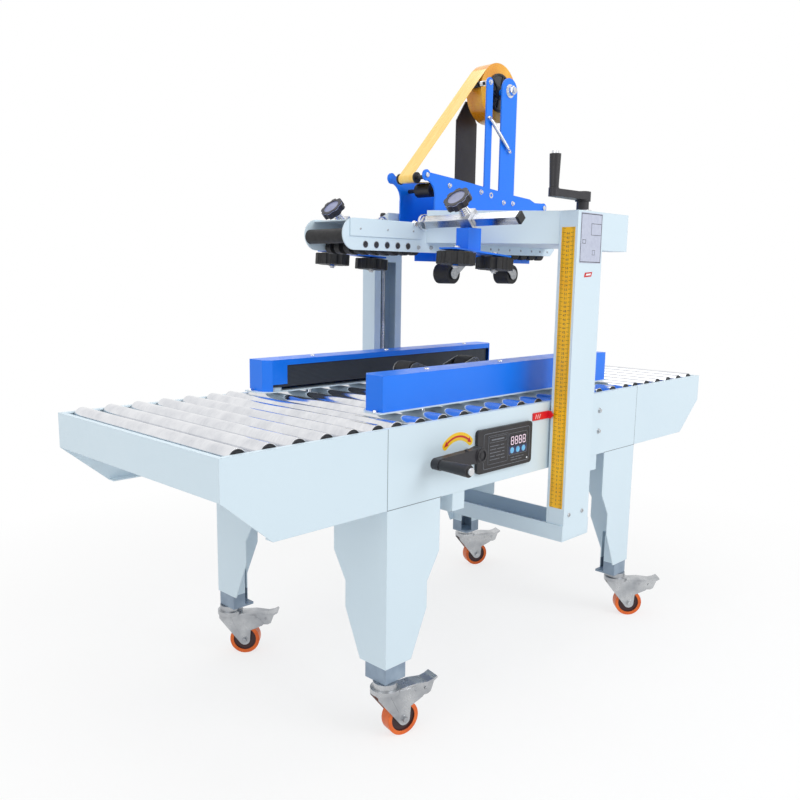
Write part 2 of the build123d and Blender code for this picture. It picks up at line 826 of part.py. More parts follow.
bed = []
for i in range(bed_rollers):
    x = -455 + bed_pitch * i
    roller = rod_y(x, -roller_end_y, roller_end_y, roller_center_z, roller_radius)
    split = rail_x0 < x < rail_x1
    if split:
        roller -= block(x - 30, x + 30, -tape_gap_half - 6, tape_gap_half + 6, 600, 700)
    roller += rod_y(x, -inner_y, inner_y, roller_center_z, roller_shaft_radius)
    if split:
        roller -= block(x - 30, x + 30, -tape_gap_half, tape_gap_half, 600, 700)
    bed += list(roller.solids())
save("bed_rollers", *bed)

rails = block(rail_x0, rail_x1, -tape_gap_half, -tape_gap_half + sheet, 618, 668)
rails += flip_y(rails)
for x in (rail_x0, rail_x1 - sheet):
    rails += block(x, x + sheet, -inner_y, inner_y, 618, 638)
save("bed_rails", rails)

rods = [rod_y(x, -inner_y, inner_y, guide_rod_z, guide_rod_radius) for x in (-post_x, post_x)]
save("guide_rods", *rods)

lower_plate = plate_xz([(-160, 520), (250, 520), (250, 655), (150, 690), (-100, 690), (-160, 655)], -38, -34)
lower_head = lower_plate + flip_y(lower_plate)
for x, z in ((-5, 632), (210, 640)):
    lower_head += rod_y(x, -tape_gap_half + sheet, tape_gap_half - sheet, z, 8)
for x in lower_pivots:
    lower_head += rod_y(x, -36, 36, lower_pivot_z, arm_pivot_radius)
save("lower_tape_head", lower_head)
save("lower_arm_front", *tape_arm(lower_rollers[0], lower_roller_z, lower_pivots[0], lower_pivot_z))
save("lower_arm_rear", *tape_arm(lower_rollers[1], lower_roller_z, lower_pivots[1], lower_pivot_z))

near_guide = mast_guide()
save("mast_guides", near_guide, flip_y(near_guide))

panel_face = Plane.XZ * RectangleRounded(panel_x1 - panel_x0, panel_z1 - panel_z0, panel_corner)
panel_seat = Pos((panel_x0 + panel_x1) / 2, -half_width - panel_thickness, (panel_z0 + panel_z1) / 2)
save("control_panel", panel_seat * extrude(panel_face, panel_thickness, dir=(0, 1, 0)))

pointer = block(pointer_x0, pointer_x1, -half_width - 3, -half_width, pointer_z0, pointer_z1)
pointer += plate_yz(
    [
        (-half_width, pointer_z0),
        (-half_width, pointer_z1),
        (-half_width - 10, pointer_z1),
        (-half_width - 18, (pointer_z0 + pointer_z1) / 2),
        (-half_width - 10, pointer_z0),
    ],
    pointer_x1 - 3,
    pointer_x1,
)
save("height_pointer", pointer)

near_column = column()
save("column_near", near_column)
save("column_far", flip_y(near_column))
save("tie_channel", tie_channel())
save("lift_screw_near", lift_screw(-1, column_top_z + 1))
save("lift_screw_far", lift_screw(1, column_top_z + 26))
ruler = block(column_left_x - 1, column_left_x, -column_outer_y + 6, -column_outer_y + 42, 409, 1083)
save("height_ruler", ruler)

near_beam = head_beam()
save("head_beams", near_beam, flip_y(near_beam))
near_head = head_plate()
save("head_housing", near_head + flip_y(near_head) + head_deck())
nose_roller = rod_y(head_nose_x + 16, -head_half_width + sheet, head_half_width - sheet, 1052, 16)
save("nose_roller", nose_roller)
save("skate_wheels", *skate_wheels())

save("tape_plate_near", tape_plate())
save("tape_plate_far", tape_back_plate())
save("reel_back_strip", reel_back_strip())
save("tape_arm_front", *tape_arm(upper_rollers[0], upper_roller_z, upper_pivots[0], upper_pivot_z))
save("tape_arm_rear", *tape_arm(upper_rollers[1], upper_roller_z, upper_pivots[1], upper_pivot_z))
save("tape_reel", tape_reel())
save("tape_web", tape_web())
save("tape_guide_rollers", *tape_guides())

save("press_bars", press_bar(-1), press_bar(1))
near_press = press_unit()
save("press_unit_near", near_press)
save("press_unit_far", flip_y(near_press))
near_rollers = press_rollers()
save("press_rollers_near", *near_rollers)
save("press_rollers_far", *[flip_y(r) for r in near_rollers])

for name, turn in (("near", lambda s: s), ("far", flip_y)):
    save("drive_cover_" + name, turn(drive_cover()))
    save("drive_belt_" + name, turn(drive_belt()))
    save("drive_carriage_" + name, turn(drive_carriage()))

height_seat = Pos(column_center_x, -screw_y, column_top_z + 1 + height_neck)
save("height_crank", height_seat * crank_arm(height_crank_reach, height_neck))
save("height_crank_grip", height_seat * crank_grip(height_crank_reach))
width_seat = Pos(width_screw_x, -crank_seat_y, width_screw_z) * Rot(90, 0, 0)
save("width_crank", width_seat * crank_arm(width_crank_reach, width_neck))
save("width_crank_grip", width_seat * crank_grip(width_crank_reach))
save("width_screw", rod_y(width_screw_x, -crank_seat_y + 6, inner_y, width_screw_z, screw_radius - 2))

foot_x = half_main - sheet - foot_tube_side / 2 + caster_offset
foot_y = half_width - sheet - foot_tube_side / 2 + caster_offset
fork = caster_fork()
wheel = caster_wheel()
for name, sx, sy, yaw in (
    ("infeed_near", -1, -1, -13.0),
    ("infeed_far", -1, 1, -45.0),
    ("outfeed_near", 1, -1, -45.0),
    ("outfeed_far", 1, 1, -27.0),
):
    seat = Pos(sx * foot_x, sy * foot_y, 0) * Rot(0, 0, yaw)
    save("caster_fork_" + name, seat * fork)
    save("caster_wheel_" + name, seat * wheel)
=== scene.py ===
import json
import math

import bmesh
import bpy
from mathutils import Matrix, Vector


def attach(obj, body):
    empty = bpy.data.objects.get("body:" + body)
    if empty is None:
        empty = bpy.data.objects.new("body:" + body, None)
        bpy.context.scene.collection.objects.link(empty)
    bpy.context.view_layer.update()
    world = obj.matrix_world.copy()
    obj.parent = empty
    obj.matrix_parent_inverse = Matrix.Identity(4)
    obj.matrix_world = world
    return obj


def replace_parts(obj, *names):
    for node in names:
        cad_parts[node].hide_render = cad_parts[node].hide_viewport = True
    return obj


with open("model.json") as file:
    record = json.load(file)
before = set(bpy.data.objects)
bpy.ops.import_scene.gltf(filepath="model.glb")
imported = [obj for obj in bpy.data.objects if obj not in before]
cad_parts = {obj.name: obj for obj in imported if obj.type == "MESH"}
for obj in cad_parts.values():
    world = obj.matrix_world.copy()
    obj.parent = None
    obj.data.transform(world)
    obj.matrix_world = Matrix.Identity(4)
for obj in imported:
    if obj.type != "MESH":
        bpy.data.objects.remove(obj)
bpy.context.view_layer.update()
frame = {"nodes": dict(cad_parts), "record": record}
nodes = frame["nodes"]

CENTER_Y = 0.0335
MM = 0.001


def srgb(r, g, b):
    """A colour given as 0 to 255 on screen, as Blender's linear numbers."""
    out = []
    for v in (r, g, b):
        v /= 255.0
        out.append(v / 12.92 if v <= 0.04045 else ((v + 0.055) / 1.055) ** 2.4)
    return (*out, 1.0)


def at(x, y, z):
    """A point given in millimetres from the table's centre line, in the row frame."""
    return Vector((x * MM, y * MM + CENTER_Y, z * MM))


# Materials

class Graph:
    """Short calls for building one material's nodes."""

    def __init__(self, name):
        self.mat = bpy.data.materials.new(name)
        self.mat.use_nodes = True
        self.tree = self.mat.node_tree
        self.bsdf = self.tree.nodes["Principled BSDF"]
        self.coord = self.add("ShaderNodeTexCoord")
        self.point = self.coord.outputs["Object"]

    def add(self, kind, **settings):
        node = self.tree.nodes.new(kind)
        for key, value in settings.items():
            setattr(node, key, value)
        return node

    def link(self, a, b):
        self.tree.links.new(a, b)

    def put(self, socket, value):
        if isinstance(value, bpy.types.NodeSocket):
            self.link(value, socket)
        else:
            socket.default_value = value

    def math(self, operation, a, b=0.0, c=None):
        node = self.add("ShaderNodeMath", operation=operation)
        self.put(node.inputs[0], a)
        self.put(node.inputs[1], b)
        if c is not None:
            self.put(node.inputs[2], c)
        return node.outputs[0]

    def scale(self, vector, factors):
        node = self.add("ShaderNodeVectorMath", operation="MULTIPLY")
        self.put(node.inputs[0], vector)
        node.inputs[1].default_value = factors
        return node.outputs[0]

    def noise(self, scale, detail=3.0, rough=0.5, vector=None):
        node = self.add("ShaderNodeTexNoise")
        self.link(vector or self.point, node.inputs["Vector"])
        node.inputs["Scale"].default_value = scale
        node.inputs["Detail"].default_value = detail
        node.inputs["Roughness"].default_value = rough
        return node.outputs["Fac"]

    def voronoi(self, scale, vector=None, feature="F1"):
        node = self.add("ShaderNodeTexVoronoi", feature=feature)
        self.link(vector or self.point, node.inputs["Vector"])
        node.inputs["Scale"].default_value = scale
        return node.outputs["Distance"]

    def ramp(self, value, low, high, out_low=0.0, out_high=1.0):
        node = self.add("ShaderNodeMapRange")
        self.put(node.inputs["Value"], value)
        node.inputs["From Min"].default_value = low
        node.inputs["From Max"].default_value = high
        node.inputs["To Min"].default_value = out_low
        node.inputs["To Max"].default_value = out_high
        return node.outputs[0]

    def mix(self, factor, a, b):
        node = self.add("ShaderNodeMix", data_type="RGBA")
        self.put(node.inputs["Factor"], factor)
        self.put(node.inputs["A"], a)
        self.put(node.inputs["B"], b)
        return node.outputs["Result"]

    def edges(self, radius):
        """1 where the surface turns a corner within the radius, 0 on flats."""
        bevel = self.add("ShaderNodeBevel", samples=4)
        bevel.inputs["Radius"].default_value = radius
        geometry = self.add("ShaderNodeNewGeometry")
        dot = self.add("ShaderNodeVectorMath", operation="DOT_PRODUCT")
        self.link(bevel.outputs[0], dot.inputs[0])
        self.link(geometry.outputs["True Normal"], dot.inputs[1])
        return self.ramp(dot.outputs["Value"], 0.985, 0.85)

    def surface(self, color, roughness, height=None, strength=0.1, distance=0.0005, radius=0.0):
        """Links colour and roughness, with a soft corner and a bump where asked."""
        self.put(self.bsdf.inputs["Base Color"], color)
        self.put(self.bsdf.inputs["Roughness"], roughness)
        normal = None
        if radius:
            bevel = self.add("ShaderNodeBevel", samples=4)
            bevel.inputs["Radius"].default_value = radius
            normal = bevel.outputs[0]
        if height is not None:
            bump = self.add("ShaderNodeBump")
            bump.inputs["Strength"].default_value = strength
            bump.inputs["Distance"].default_value = distance
            self.link(height, bump.inputs["Height"])
            if normal is not None:
                self.link(normal, bump.inputs["Normal"])
            normal = bump.outputs[0]
        if normal is not None:
            self.link(normal, self.bsdf.inputs["Normal"])

    def set(self, **values):
        for key, value in values.items():
            self.bsdf.inputs[key.replace("_", " ")].default_value = value


def powder(name, base, shade, wear, rough, radius=0.0012):
    g = Graph(name)
    patch = g.ramp(g.noise(3.0, 2.0), 0.3, 0.7)
    speck = g.ramp(g.noise(900.0, 2.0, 0.7), 0.35, 0.65)
    color = g.mix(g.math("MULTIPLY", patch, 0.35), base, shade)
    color = g.mix(g.math("MULTIPLY", speck, 0.10), color, shade)
    chip = g.math("MULTIPLY", g.edges(0.0011), g.ramp(g.noise(60.0, 4.0, 0.7), 0.52, 0.72))
    color = g.mix(g.math("MULTIPLY", chip, 0.5), color, wear)
    peel = g.math("ADD", g.noise(420.0, 2.0, 0.5), g.math("MULTIPLY", g.noise(1500.0, 2.0), 0.4))
    g.surface(color, g.ramp(g.noise(40.0, 3.0), 0.3, 0.7, rough - 0.06, rough + 0.06), peel, 0.12, 0.0004, radius)
    g.set(Specular_IOR_Level=0.5)
    return g.mat


def metal(name, base, shade, rough, stretch=(1.0, 1.0, 1.0), line_scale=300.0, strength=0.06, radius=0.0006):
    g = Graph(name)
    lined = g.scale(g.point, stretch)
    lines = g.noise(line_scale, 3.0, 0.6, lined)
    patch = g.noise(18.0, 3.0, 0.6)
    color = g.mix(g.ramp(patch, 0.35, 0.68), base, shade)
    color = g.mix(g.math("MULTIPLY", g.ramp(lines, 0.35, 0.65), 0.25), color, shade)
    roughness = g.math("ADD", g.ramp(lines, 0.3, 0.7, -0.05, 0.05), g.ramp(patch, 0.3, 0.7, rough - 0.04, rough + 0.05))
    g.surface(color, roughness, lines, strength, 0.0003, radius)
    g.set(Metallic=1.0)
    return g.mat


def moulded(name, base, shade, rough, grain=1400.0, strength=0.2, radius=0.0010):
    g = Graph(name)
    color = g.mix(g.ramp(g.noise(25.0, 3.0), 0.35, 0.7), base, shade)
    dust = g.math("MULTIPLY", g.edges(0.0012), 0.18)
    color = g.mix(dust, color, srgb(120, 122, 126))
    g.surface(color, g.ramp(g.noise(120.0, 3.0), 0.3, 0.7, rough - 0.07, rough + 0.07), g.noise(grain, 2.0), strength, 0.0003, radius)
    return g.mat

def inside(g, value, low, high):
    """1 where low < value < high."""
    return g.math("MULTIPLY", g.math("GREATER_THAN", value, low), g.math("LESS_THAN", value, high))


def axes(g):
    split = g.add("ShaderNodeSeparateXYZ")
    g.link(g.point, split.inputs[0])
    return split.outputs["X"], split.outputs["Y"], split.outputs["Z"]


def white_sheet():
    """Powder-coated sheet with the dark joints between its panels, and painted shade on the tubes at the feet, which
    are coloured a darker grey blue to stand for the shadow they sit in.
    """
    g = Graph("powder_white")
    x, y, z = axes(g)
    base, shade = srgb(212, 229, 239), srgb(202, 221, 233)
    color = g.mix(g.math("MULTIPLY", g.ramp(g.noise(3.0, 2.0), 0.3, 0.7), 0.35), base, shade)
    color = g.mix(g.math("MULTIPLY", g.ramp(g.noise(900.0, 2.0, 0.7), 0.35, 0.65), 0.10), color, shade)
    chip = g.math("MULTIPLY", g.edges(0.0011), g.ramp(g.noise(60.0, 4.0, 0.7), 0.52, 0.72))
    color = g.mix(g.math("MULTIPLY", chip, 0.4), color, srgb(150, 160, 168))
    far = g.math("ABSOLUTE", x)
    out = g.math("GREATER_THAN", g.math("ABSOLUTE", g.math("SUBTRACT", y, CENTER_Y)), 0.3035)
    seam = g.math("MULTIPLY", inside(g, far, 0.4931, 0.4949), inside(g, z, 0.503, 0.671))
    under = g.math("MULTIPLY", inside(g, z, 0.5031, 0.5049), inside(g, far, 0.331, 0.4955))
    joint = g.math("MULTIPLY", g.math("MAXIMUM", seam, under), out)
    color = g.mix(g.math("MULTIPLY", joint, 0.75), color, srgb(70, 84, 96))
    # Painted shade: the foot tubes, from 100 to 164 mm up and more than 420 mm out from the middle, get a darker grey
    # blue for the shadow they lie in.
    foot = g.math("MULTIPLY", inside(g, z, 0.10, 0.1638), g.math("GREATER_THAN", far, 0.42))
    color = g.mix(foot, color, g.mix(g.ramp(g.noise(30.0, 4.0), 0.35, 0.7), srgb(148, 166, 184), srgb(128, 146, 166)))
    peel = g.math("ADD", g.noise(420.0, 2.0, 0.5), g.math("MULTIPLY", g.noise(1500.0, 2.0), 0.4))
    g.surface(color, g.ramp(g.noise(40.0, 3.0), 0.3, 0.7, 0.36, 0.48), peel, 0.12, 0.0004, 0.0012)
    return g.mat


def press_bar_material():
    """Plated bar with black square caps on its ends."""
    g = Graph("press_bar_metal")
    x, y, z = axes(g)
    streak = g.noise(500.0, 3.0, 0.6, g.scale(g.point, (1.0, 0.05, 1.0)))
    color = g.mix(g.ramp(streak, 0.35, 0.65), srgb(222, 224, 228), srgb(196, 199, 206))
    cap = g.math("GREATER_THAN", g.math("ABSOLUTE", g.math("SUBTRACT", y, CENTER_Y)), 0.345)
    g.surface(
        g.mix(cap, color, srgb(26, 26, 29)), g.math("ADD", g.ramp(streak, 0.3, 0.7, 0.16, 0.26), g.math("MULTIPLY", cap, 0.3)),
        streak, 0.05, 0.0003, 0.0006,
    )
    g.put(g.bsdf.inputs["Metallic"], g.math("SUBTRACT", 1.0, cap))
    return g.mat


def arm_material(name, roller):
    """Zinc-plated swing arms that carry a black knurled roller."""
    g = Graph(name)
    x, y, z = axes(g)
    dx = g.math("SUBTRACT", x, roller.x)
    dz = g.math("SUBTRACT", z, roller.z)
    reach = g.math("SQRT", g.math("ADD", g.math("MULTIPLY", dx, dx), g.math("MULTIPLY", dz, dz)))
    width = g.math("ABSOLUTE", g.math("SUBTRACT", y, CENTER_Y))
    tread = g.math("MULTIPLY", g.math("LESS_THAN", width, 0.0236), inside(g, reach, 0.0058, 0.0263))
    turn = g.math("MULTIPLY", g.math("ARCTAN2", dz, dx), 36.0)
    ribs = g.ramp(g.math("MULTIPLY", g.math("SINE", turn), g.math("SINE", g.math("MULTIPLY", y, 2200.0))), -0.3, 0.3)
    grain = g.noise(260.0, 3.0, 0.6)
    steel = g.mix(g.ramp(grain, 0.35, 0.65), srgb(176, 178, 180), srgb(142, 145, 150))
    black = g.mix(ribs, srgb(18, 18, 20), srgb(34, 34, 37))
    color = g.mix(tread, steel, black)
    rough = g.math("ADD", g.ramp(grain, 0.3, 0.7, 0.28, 0.42), g.math("MULTIPLY", tread, 0.25))
    height = g.math("ADD", g.math("MULTIPLY", ribs, tread), g.math("MULTIPLY", grain, 0.2))
    g.surface(color, rough, height, 0.5, 0.0006, 0.0008)
    g.put(g.bsdf.inputs["Metallic"], g.math("SUBTRACT", 1.0, tread))
    return g.mat


def press_material(name, side):
    """Blue post and plate, plated clamp and stud, black knob, split by place along the slanted stud."""
    g = Graph(name)
    x, y, z = axes(g)
    pivot = at(-147, 0, 1092)
    t = g.math("MULTIPLY", g.math("SUBTRACT", g.math("SUBTRACT", z, pivot.z), g.math("SUBTRACT", x, pivot.x)), 0.70711)
    high = g.math("GREATER_THAN", z, 1.07405)
    knob = g.math("MULTIPLY", high, g.math("GREATER_THAN", t, 0.0489))
    plated = g.math("MULTIPLY", high, g.math("SUBTRACT", 1.0, knob))
    recess = g.math("MULTIPLY", knob, inside(g, t, 0.0640, 0.06545))
    axle = g.math("LESS_THAN", z, 0.988)
    patch = g.ramp(g.noise(8.0, 2.0), 0.3, 0.7)
    paint = g.mix(patch, srgb(0, 122, 248), srgb(0, 108, 236))
    steel = g.mix(g.ramp(g.noise(120.0, 3.0), 0.35, 0.65), srgb(214, 216, 219), srgb(186, 189, 195))
    plastic = g.mix(g.ramp(g.noise(30.0, 3.0), 0.35, 0.7), srgb(38, 37, 46), srgb(28, 27, 35))
    dish = g.mix(g.ramp(g.noise(40.0, 3.0), 0.35, 0.7), srgb(150, 156, 188), srgb(132, 138, 172))
    color = g.mix(plated, paint, steel)
    color = g.mix(knob, color, plastic)
    color = g.mix(recess, color, dish)
    color = g.mix(axle, color, steel)
    grain = g.noise(900.0, 2.0)
    g.surface(color, g.ramp(g.noise(50.0, 3.0), 0.3, 0.7, 0.30, 0.42), grain, 0.12, 0.0003, 0.0010)
    g.put(g.bsdf.inputs["Metallic"], g.math("MAXIMUM", plated, axle))
    return g.mat


def belt_material():
    """Black rubber belt with a raised diamond pattern on its faces."""
    g = Graph("belt_rubber")
    x, y, z = axes(g)
    a = g.math("SINE", g.math("MULTIPLY", g.math("ADD", x, z), 980.0))
    b = g.math("SINE", g.math("MULTIPLY", g.math("SUBTRACT", x, z), 980.0))
    diamond = g.ramp(g.math("MULTIPLY", a, b), -0.35, 0.35)
    base = g.mix(g.ramp(g.noise(24.0, 3.0), 0.35, 0.7), srgb(16, 20, 30), srgb(24, 29, 40))
    color = g.mix(g.math("MULTIPLY", diamond, 0.6), base, srgb(52, 66, 82))
    g.surface(color, g.ramp(diamond, 0.0, 1.0, 0.62, 0.44), diamond, 0.6, 0.0008, 0.0008)
    return g.mat


def crank_material(name, axis, limit, above):
    """Black moulded crank whose pin ends in a plated tip past a given height."""
    g = Graph(name)
    value = axes(g)["XYZ".index(axis)]
    tip = g.math("GREATER_THAN" if above else "LESS_THAN", value, limit)
    grain = g.noise(1300.0, 2.0)
    plastic = g.mix(g.ramp(g.noise(25.0, 3.0), 0.35, 0.7), srgb(36, 35, 42), srgb(25, 24, 30))
    dust = g.math("MULTIPLY", g.edges(0.0012), 0.16)
    plastic = g.mix(dust, plastic, srgb(120, 122, 126))
    color = g.mix(tip, plastic, srgb(216, 218, 221))
    rough = g.math("SUBTRACT", g.ramp(g.noise(90.0, 3.0), 0.3, 0.7, 0.36, 0.50), g.math("MULTIPLY", tip, 0.24))
    g.surface(color, rough, grain, 0.16, 0.0003, 0.0012)
    g.put(g.bsdf.inputs["Metallic"], tip)
    return g.mat


def roller_material():
    """Polished tube: bright, with fine rings round it and faint marks from cartons."""
    g = Graph("chrome_rollers")
    rings = g.noise(900.0, 3.0, 0.6, g.scale(g.point, (0.03, 1.0, 0.03)))
    marks = g.noise(26.0, 4.0, 0.6)
    color = g.mix(g.ramp(marks, 0.35, 0.7), srgb(236, 237, 240), srgb(214, 216, 221))
    color = g.mix(g.math("MULTIPLY", g.ramp(rings, 0.35, 0.65), 0.2), color, srgb(196, 198, 204))
    g.surface(color, g.ramp(marks, 0.3, 0.7, 0.10, 0.18), rings, 0.04, 0.0002, 0.0008)
    g.set(Metallic=1.0)
    return g.mat


def plain(name, base, shade, rough, metallic=0.0, emission=0.0):
    """A small printed or lit mark, with slight cloudiness."""
    g = Graph(name)
    cloud = g.ramp(g.noise(140.0, 3.0), 0.35, 0.7)
    g.surface(g.mix(cloud, base, shade), g.ramp(g.noise(300.0), 0.3, 0.7, rough - 0.05, rough + 0.05), g.noise(1800.0), 0.05, 0.0002)
    g.set(Metallic=metallic)
    if emission:
        g.put(g.bsdf.inputs["Emission Color"], base)
        g.set(Emission_Strength=emission)
    return g.mat


white = white_sheet()
blue = powder("powder_blue", srgb(0, 124, 250), srgb(0, 110, 238), srgb(70, 150, 240), 0.34)
red = powder("red_paint", srgb(222, 22, 40), srgb(196, 14, 30), srgb(150, 60, 60), 0.35)
dark_metal = powder("black_metal", srgb(36, 30, 36), srgb(26, 22, 28), srgb(70, 70, 74), 0.42)
zinc = metal("zinc_steel", srgb(200, 202, 204), srgb(160, 163, 168), 0.30)
chrome = metal("chrome_steel", srgb(232, 233, 236), srgb(204, 206, 211), 0.14, (1.0, 1.0, 1.0), 500.0, 0.03)
black_plastic = moulded("black_plastic", srgb(32, 31, 36), srgb(22, 21, 26), 0.42)
rubber = moulded("black_rubber", srgb(24, 24, 27), srgb(16, 16, 18), 0.60, 900.0, 0.3)
roller_metal = roller_material()
belt_rubber = belt_material()
panel_line = plain("panel_line", srgb(120, 124, 132), srgb(96, 100, 108), 0.5)
panel_glass = plain("panel_glass", srgb(20, 16, 30), srgb(14, 12, 24), 0.15)
panel_blue = plain("panel_blue", srgb(14, 40, 96), srgb(10, 30, 78), 0.35)
button_blue = plain("button_blue", srgb(120, 196, 238), srgb(90, 170, 224), 0.35)
digit_light = plain("digit_light", srgb(246, 222, 236), srgb(232, 200, 220), 0.4, 0.0, 0.25)
label_yellow = plain("label_yellow", srgb(250, 208, 30), srgb(242, 194, 16), 0.35)
label_red = plain("label_red", srgb(206, 30, 34), srgb(186, 20, 28), 0.4)
label_white = plain("label_white", srgb(244, 246, 247), srgb(234, 238, 240), 0.4)
plate_grey = plain("plate_grey", srgb(190, 196, 214), srgb(180, 186, 206), 0.38)
ink = plain("dark_ink", srgb(46, 50, 62), srgb(36, 40, 52), 0.5)


def wheel_material(name, center, axis):
    """Orange tread outside, dark hub inside, split by the distance from the axle."""
    g = Graph(name)
    offset = g.add("ShaderNodeVectorMath", operation="SUBTRACT")
    g.link(g.point, offset.inputs[0])
    offset.inputs[1].default_value = center
    cross = g.add("ShaderNodeVectorMath", operation="CROSS_PRODUCT")
    g.link(offset.outputs[0], cross.inputs[0])
    cross.inputs[1].default_value = axis
    length = g.add("ShaderNodeVectorMath", operation="LENGTH")
    g.link(cross.outputs[0], length.inputs[0])
    reach = length.outputs["Value"]
    hub = g.ramp(reach, 0.0288, 0.0284)
    cap = g.ramp(reach, 0.0125, 0.0121)
    tread = g.mix(g.ramp(g.noise(40.0, 4.0), 0.35, 0.7), srgb(236, 112, 34), srgb(214, 90, 24))
    scuff = g.math("MULTIPLY", g.ramp(reach, 0.0368, 0.0376), g.ramp(g.noise(160.0, 4.0, 0.7), 0.45, 0.7))
    tread = g.mix(g.math("MULTIPLY", scuff, 0.3), tread, srgb(150, 84, 40))
    color = g.mix(hub, tread, srgb(54, 16, 18))
    color = g.mix(cap, color, srgb(70, 62, 66))
    g.surface(color, g.ramp(g.noise(90.0, 3.0), 0.3, 0.7, 0.30, 0.42), g.noise(500.0, 3.0), 0.12, 0.0004, 0.0012)
    return g.mat


def tape_material(center):
    """Wound tape: fine rings on the sides of the roll, dark hub inside."""
    g = Graph("tape_amber")
    offset = g.add("ShaderNodeVectorMath", operation="SUBTRACT")
    g.link(g.point, offset.inputs[0])
    offset.inputs[1].default_value = center
    flat = g.scale(offset.outputs[0], (1.0, 0.0, 1.0))
    length = g.add("ShaderNodeVectorMath", operation="LENGTH")
    g.link(flat, length.inputs[0])
    reach = length.outputs["Value"]
    rings = g.math("SINE", g.math("MULTIPLY", reach, 5200.0))
    rings = g.math("ADD", rings, g.math("SINE", g.math("MULTIPLY", reach, 1970.0)))
    band = g.ramp(rings, -1.6, 1.6)
    tape = g.mix(band, srgb(240, 166, 28), srgb(222, 138, 12))
    tape = g.mix(g.ramp(g.noise(20.0, 2.0), 0.35, 0.7), tape, srgb(248, 184, 50))
    color = g.mix(g.ramp(reach, 0.0484, 0.0480), tape, srgb(28, 27, 32))
    g.surface(color, g.ramp(g.noise(60.0, 2.0), 0.3, 0.7, 0.22, 0.34), band, 0.15, 0.0003, 0.0008)
    g.set(Coat_Weight=0.4, Coat_Roughness=0.15)
    return g.mat


def film_material():
    g = Graph("tape_film")
    streak = g.noise(220.0, 3.0, 0.6, g.scale(g.point, (0.05, 1.0, 0.05)))
    color = g.mix(g.ramp(streak, 0.35, 0.65), srgb(255, 216, 120), srgb(250, 200, 90))
    g.surface(color, g.ramp(g.noise(50.0), 0.3, 0.7, 0.16, 0.30), streak, 0.10, 0.0003)
    g.set(Coat_Weight=0.5, Coat_Roughness=0.1)
    return g.mat


def ruler_material():
    """Yellow scale with dark ticks along both long edges, longer ones every centimetre."""
    g = Graph("ruler_yellow")
    x, y, z = axes(g)
    edge = -353 * MM + CENTER_Y

    def ticks(pitch, width, y_low, y_high):
        beat = g.math("FRACT", g.math("DIVIDE", z, pitch))
        line = g.math("LESS_THAN", beat, width / pitch)
        return g.math("MULTIPLY", line, inside(g, y, edge + y_low, edge + y_high))

    left = g.math("MAXIMUM", ticks(0.002, 0.0005, 0.002, 0.007), ticks(0.010, 0.0009, 0.002, 0.011))
    right = g.math("MAXIMUM", ticks(0.002, 0.0005, 0.029, 0.034), ticks(0.010, 0.0009, 0.025, 0.034))
    mark = g.math("MAXIMUM", left, right)
    base = g.mix(g.ramp(g.noise(14.0, 3.0), 0.35, 0.7), srgb(252, 194, 18), srgb(244, 178, 6))
    g.surface(g.mix(mark, base, srgb(60, 44, 14)), g.ramp(g.noise(70.0), 0.3, 0.7, 0.30, 0.42), mark, 0.05, 0.0002)
    return g.mat


film = film_material()
tape = tape_material(at(184, 0, 1440))
ruler = ruler_material()

finishes = {
    "powder_white": white,
    "powder_blue": blue,
    "zinc_steel": zinc,
    "chrome_rollers": roller_metal,
    "black_plastic": black_plastic,
    "black_rubber": rubber,
    "tape_amber": tape,
    "ruler_yellow": ruler,
    "red_paint": red,
    "black_metal": dark_metal,
}
slot_of = {row["node"]: row["material_slot"] for row in frame["record"]["subparts"]}


def dress(node, material):
    mesh = nodes[node].data
    mesh.materials.clear()
    mesh.materials.append(material)


for node, slot in slot_of.items():
    if slot in finishes:
        dress(node, finishes[slot])
dress("tape_web", film)
bar_metal = press_bar_material()
dress("press_bars", bar_metal)
for side in ("near", "far"):
    dress("press_unit_" + side, press_material("press_finish_" + side, side))
    dress("drive_belt_" + side, belt_rubber)
for node, x, z in (
    ("tape_arm_front", 20, 974),
    ("tape_arm_rear", 272, 974),
    ("lower_arm_front", -120, 730),
    ("lower_arm_rear", 110, 730),
):
    dress(node, arm_material(node + "_finish", at(x, 0, z)))
dress("height_crank", crank_material("height_crank_finish", "Z", 1.2398, True))
dress("width_crank", crank_material("width_crank_finish", "Y", -419.8 * MM + CENTER_Y, False))

CASTERS = {
    "infeed_near": (-473, -283, -13),
    "infeed_far": (-473, 283, -45),
    "outfeed_near": (473, -283, -45),
    "outfeed_far": (473, 283, -27),
}
TRAIL = 38
for corner, (foot_x, foot_y, turn_deg) in CASTERS.items():
    heading = math.radians(turn_deg)
    hub = at(foot_x + TRAIL * math.cos(heading), foot_y + TRAIL * math.sin(heading), 37.5)
    axle = (-math.sin(heading), math.cos(heading), 0.0)
    dress("caster_wheel_" + corner, wheel_material("tread_" + corner, hub, axle))

# Making pieces


def frame_of(axis):
    """Two directions square to an axis, and the axis itself."""
    n = Vector(axis).normalized()
    u = n.cross(Vector((0, 0, 1)))
    if u.length < 0.01:
        u = n.cross(Vector((1, 0, 0)))
    u.normalize()
    return u, n.cross(u), n


def lathe(bm, origin, axis, profile, count=28):
    """Turns (radius, height) points round an axis; six faces make a hexagon."""
    u, v, n = frame_of(axis)
    base = Vector(origin)
    rings = []
    for radius, height in profile:
        if radius < 1e-6:
            rings.append([bm.verts.new(base + n * height)])
            continue
        ring = []
        for i in range(count):
            angle = 2 * math.pi * (i + 0.5) / count
            ring.append(bm.verts.new(base + n * height + (u * math.cos(angle) + v * math.sin(angle)) * radius))
        rings.append(ring)
    for low, high in zip(rings, rings[1:]):
        for i in range(count):
            j = (i + 1) % count
            if len(low) == 1 and len(high) == 1:
                continue
            if len(low) == 1:
                bm.faces.new((low[0], high[i], high[j]))
            elif len(high) == 1:
                bm.faces.new((low[i], low[j], high[0]))
            else:
                bm.faces.new((low[i], low[j], high[j], high[i]))


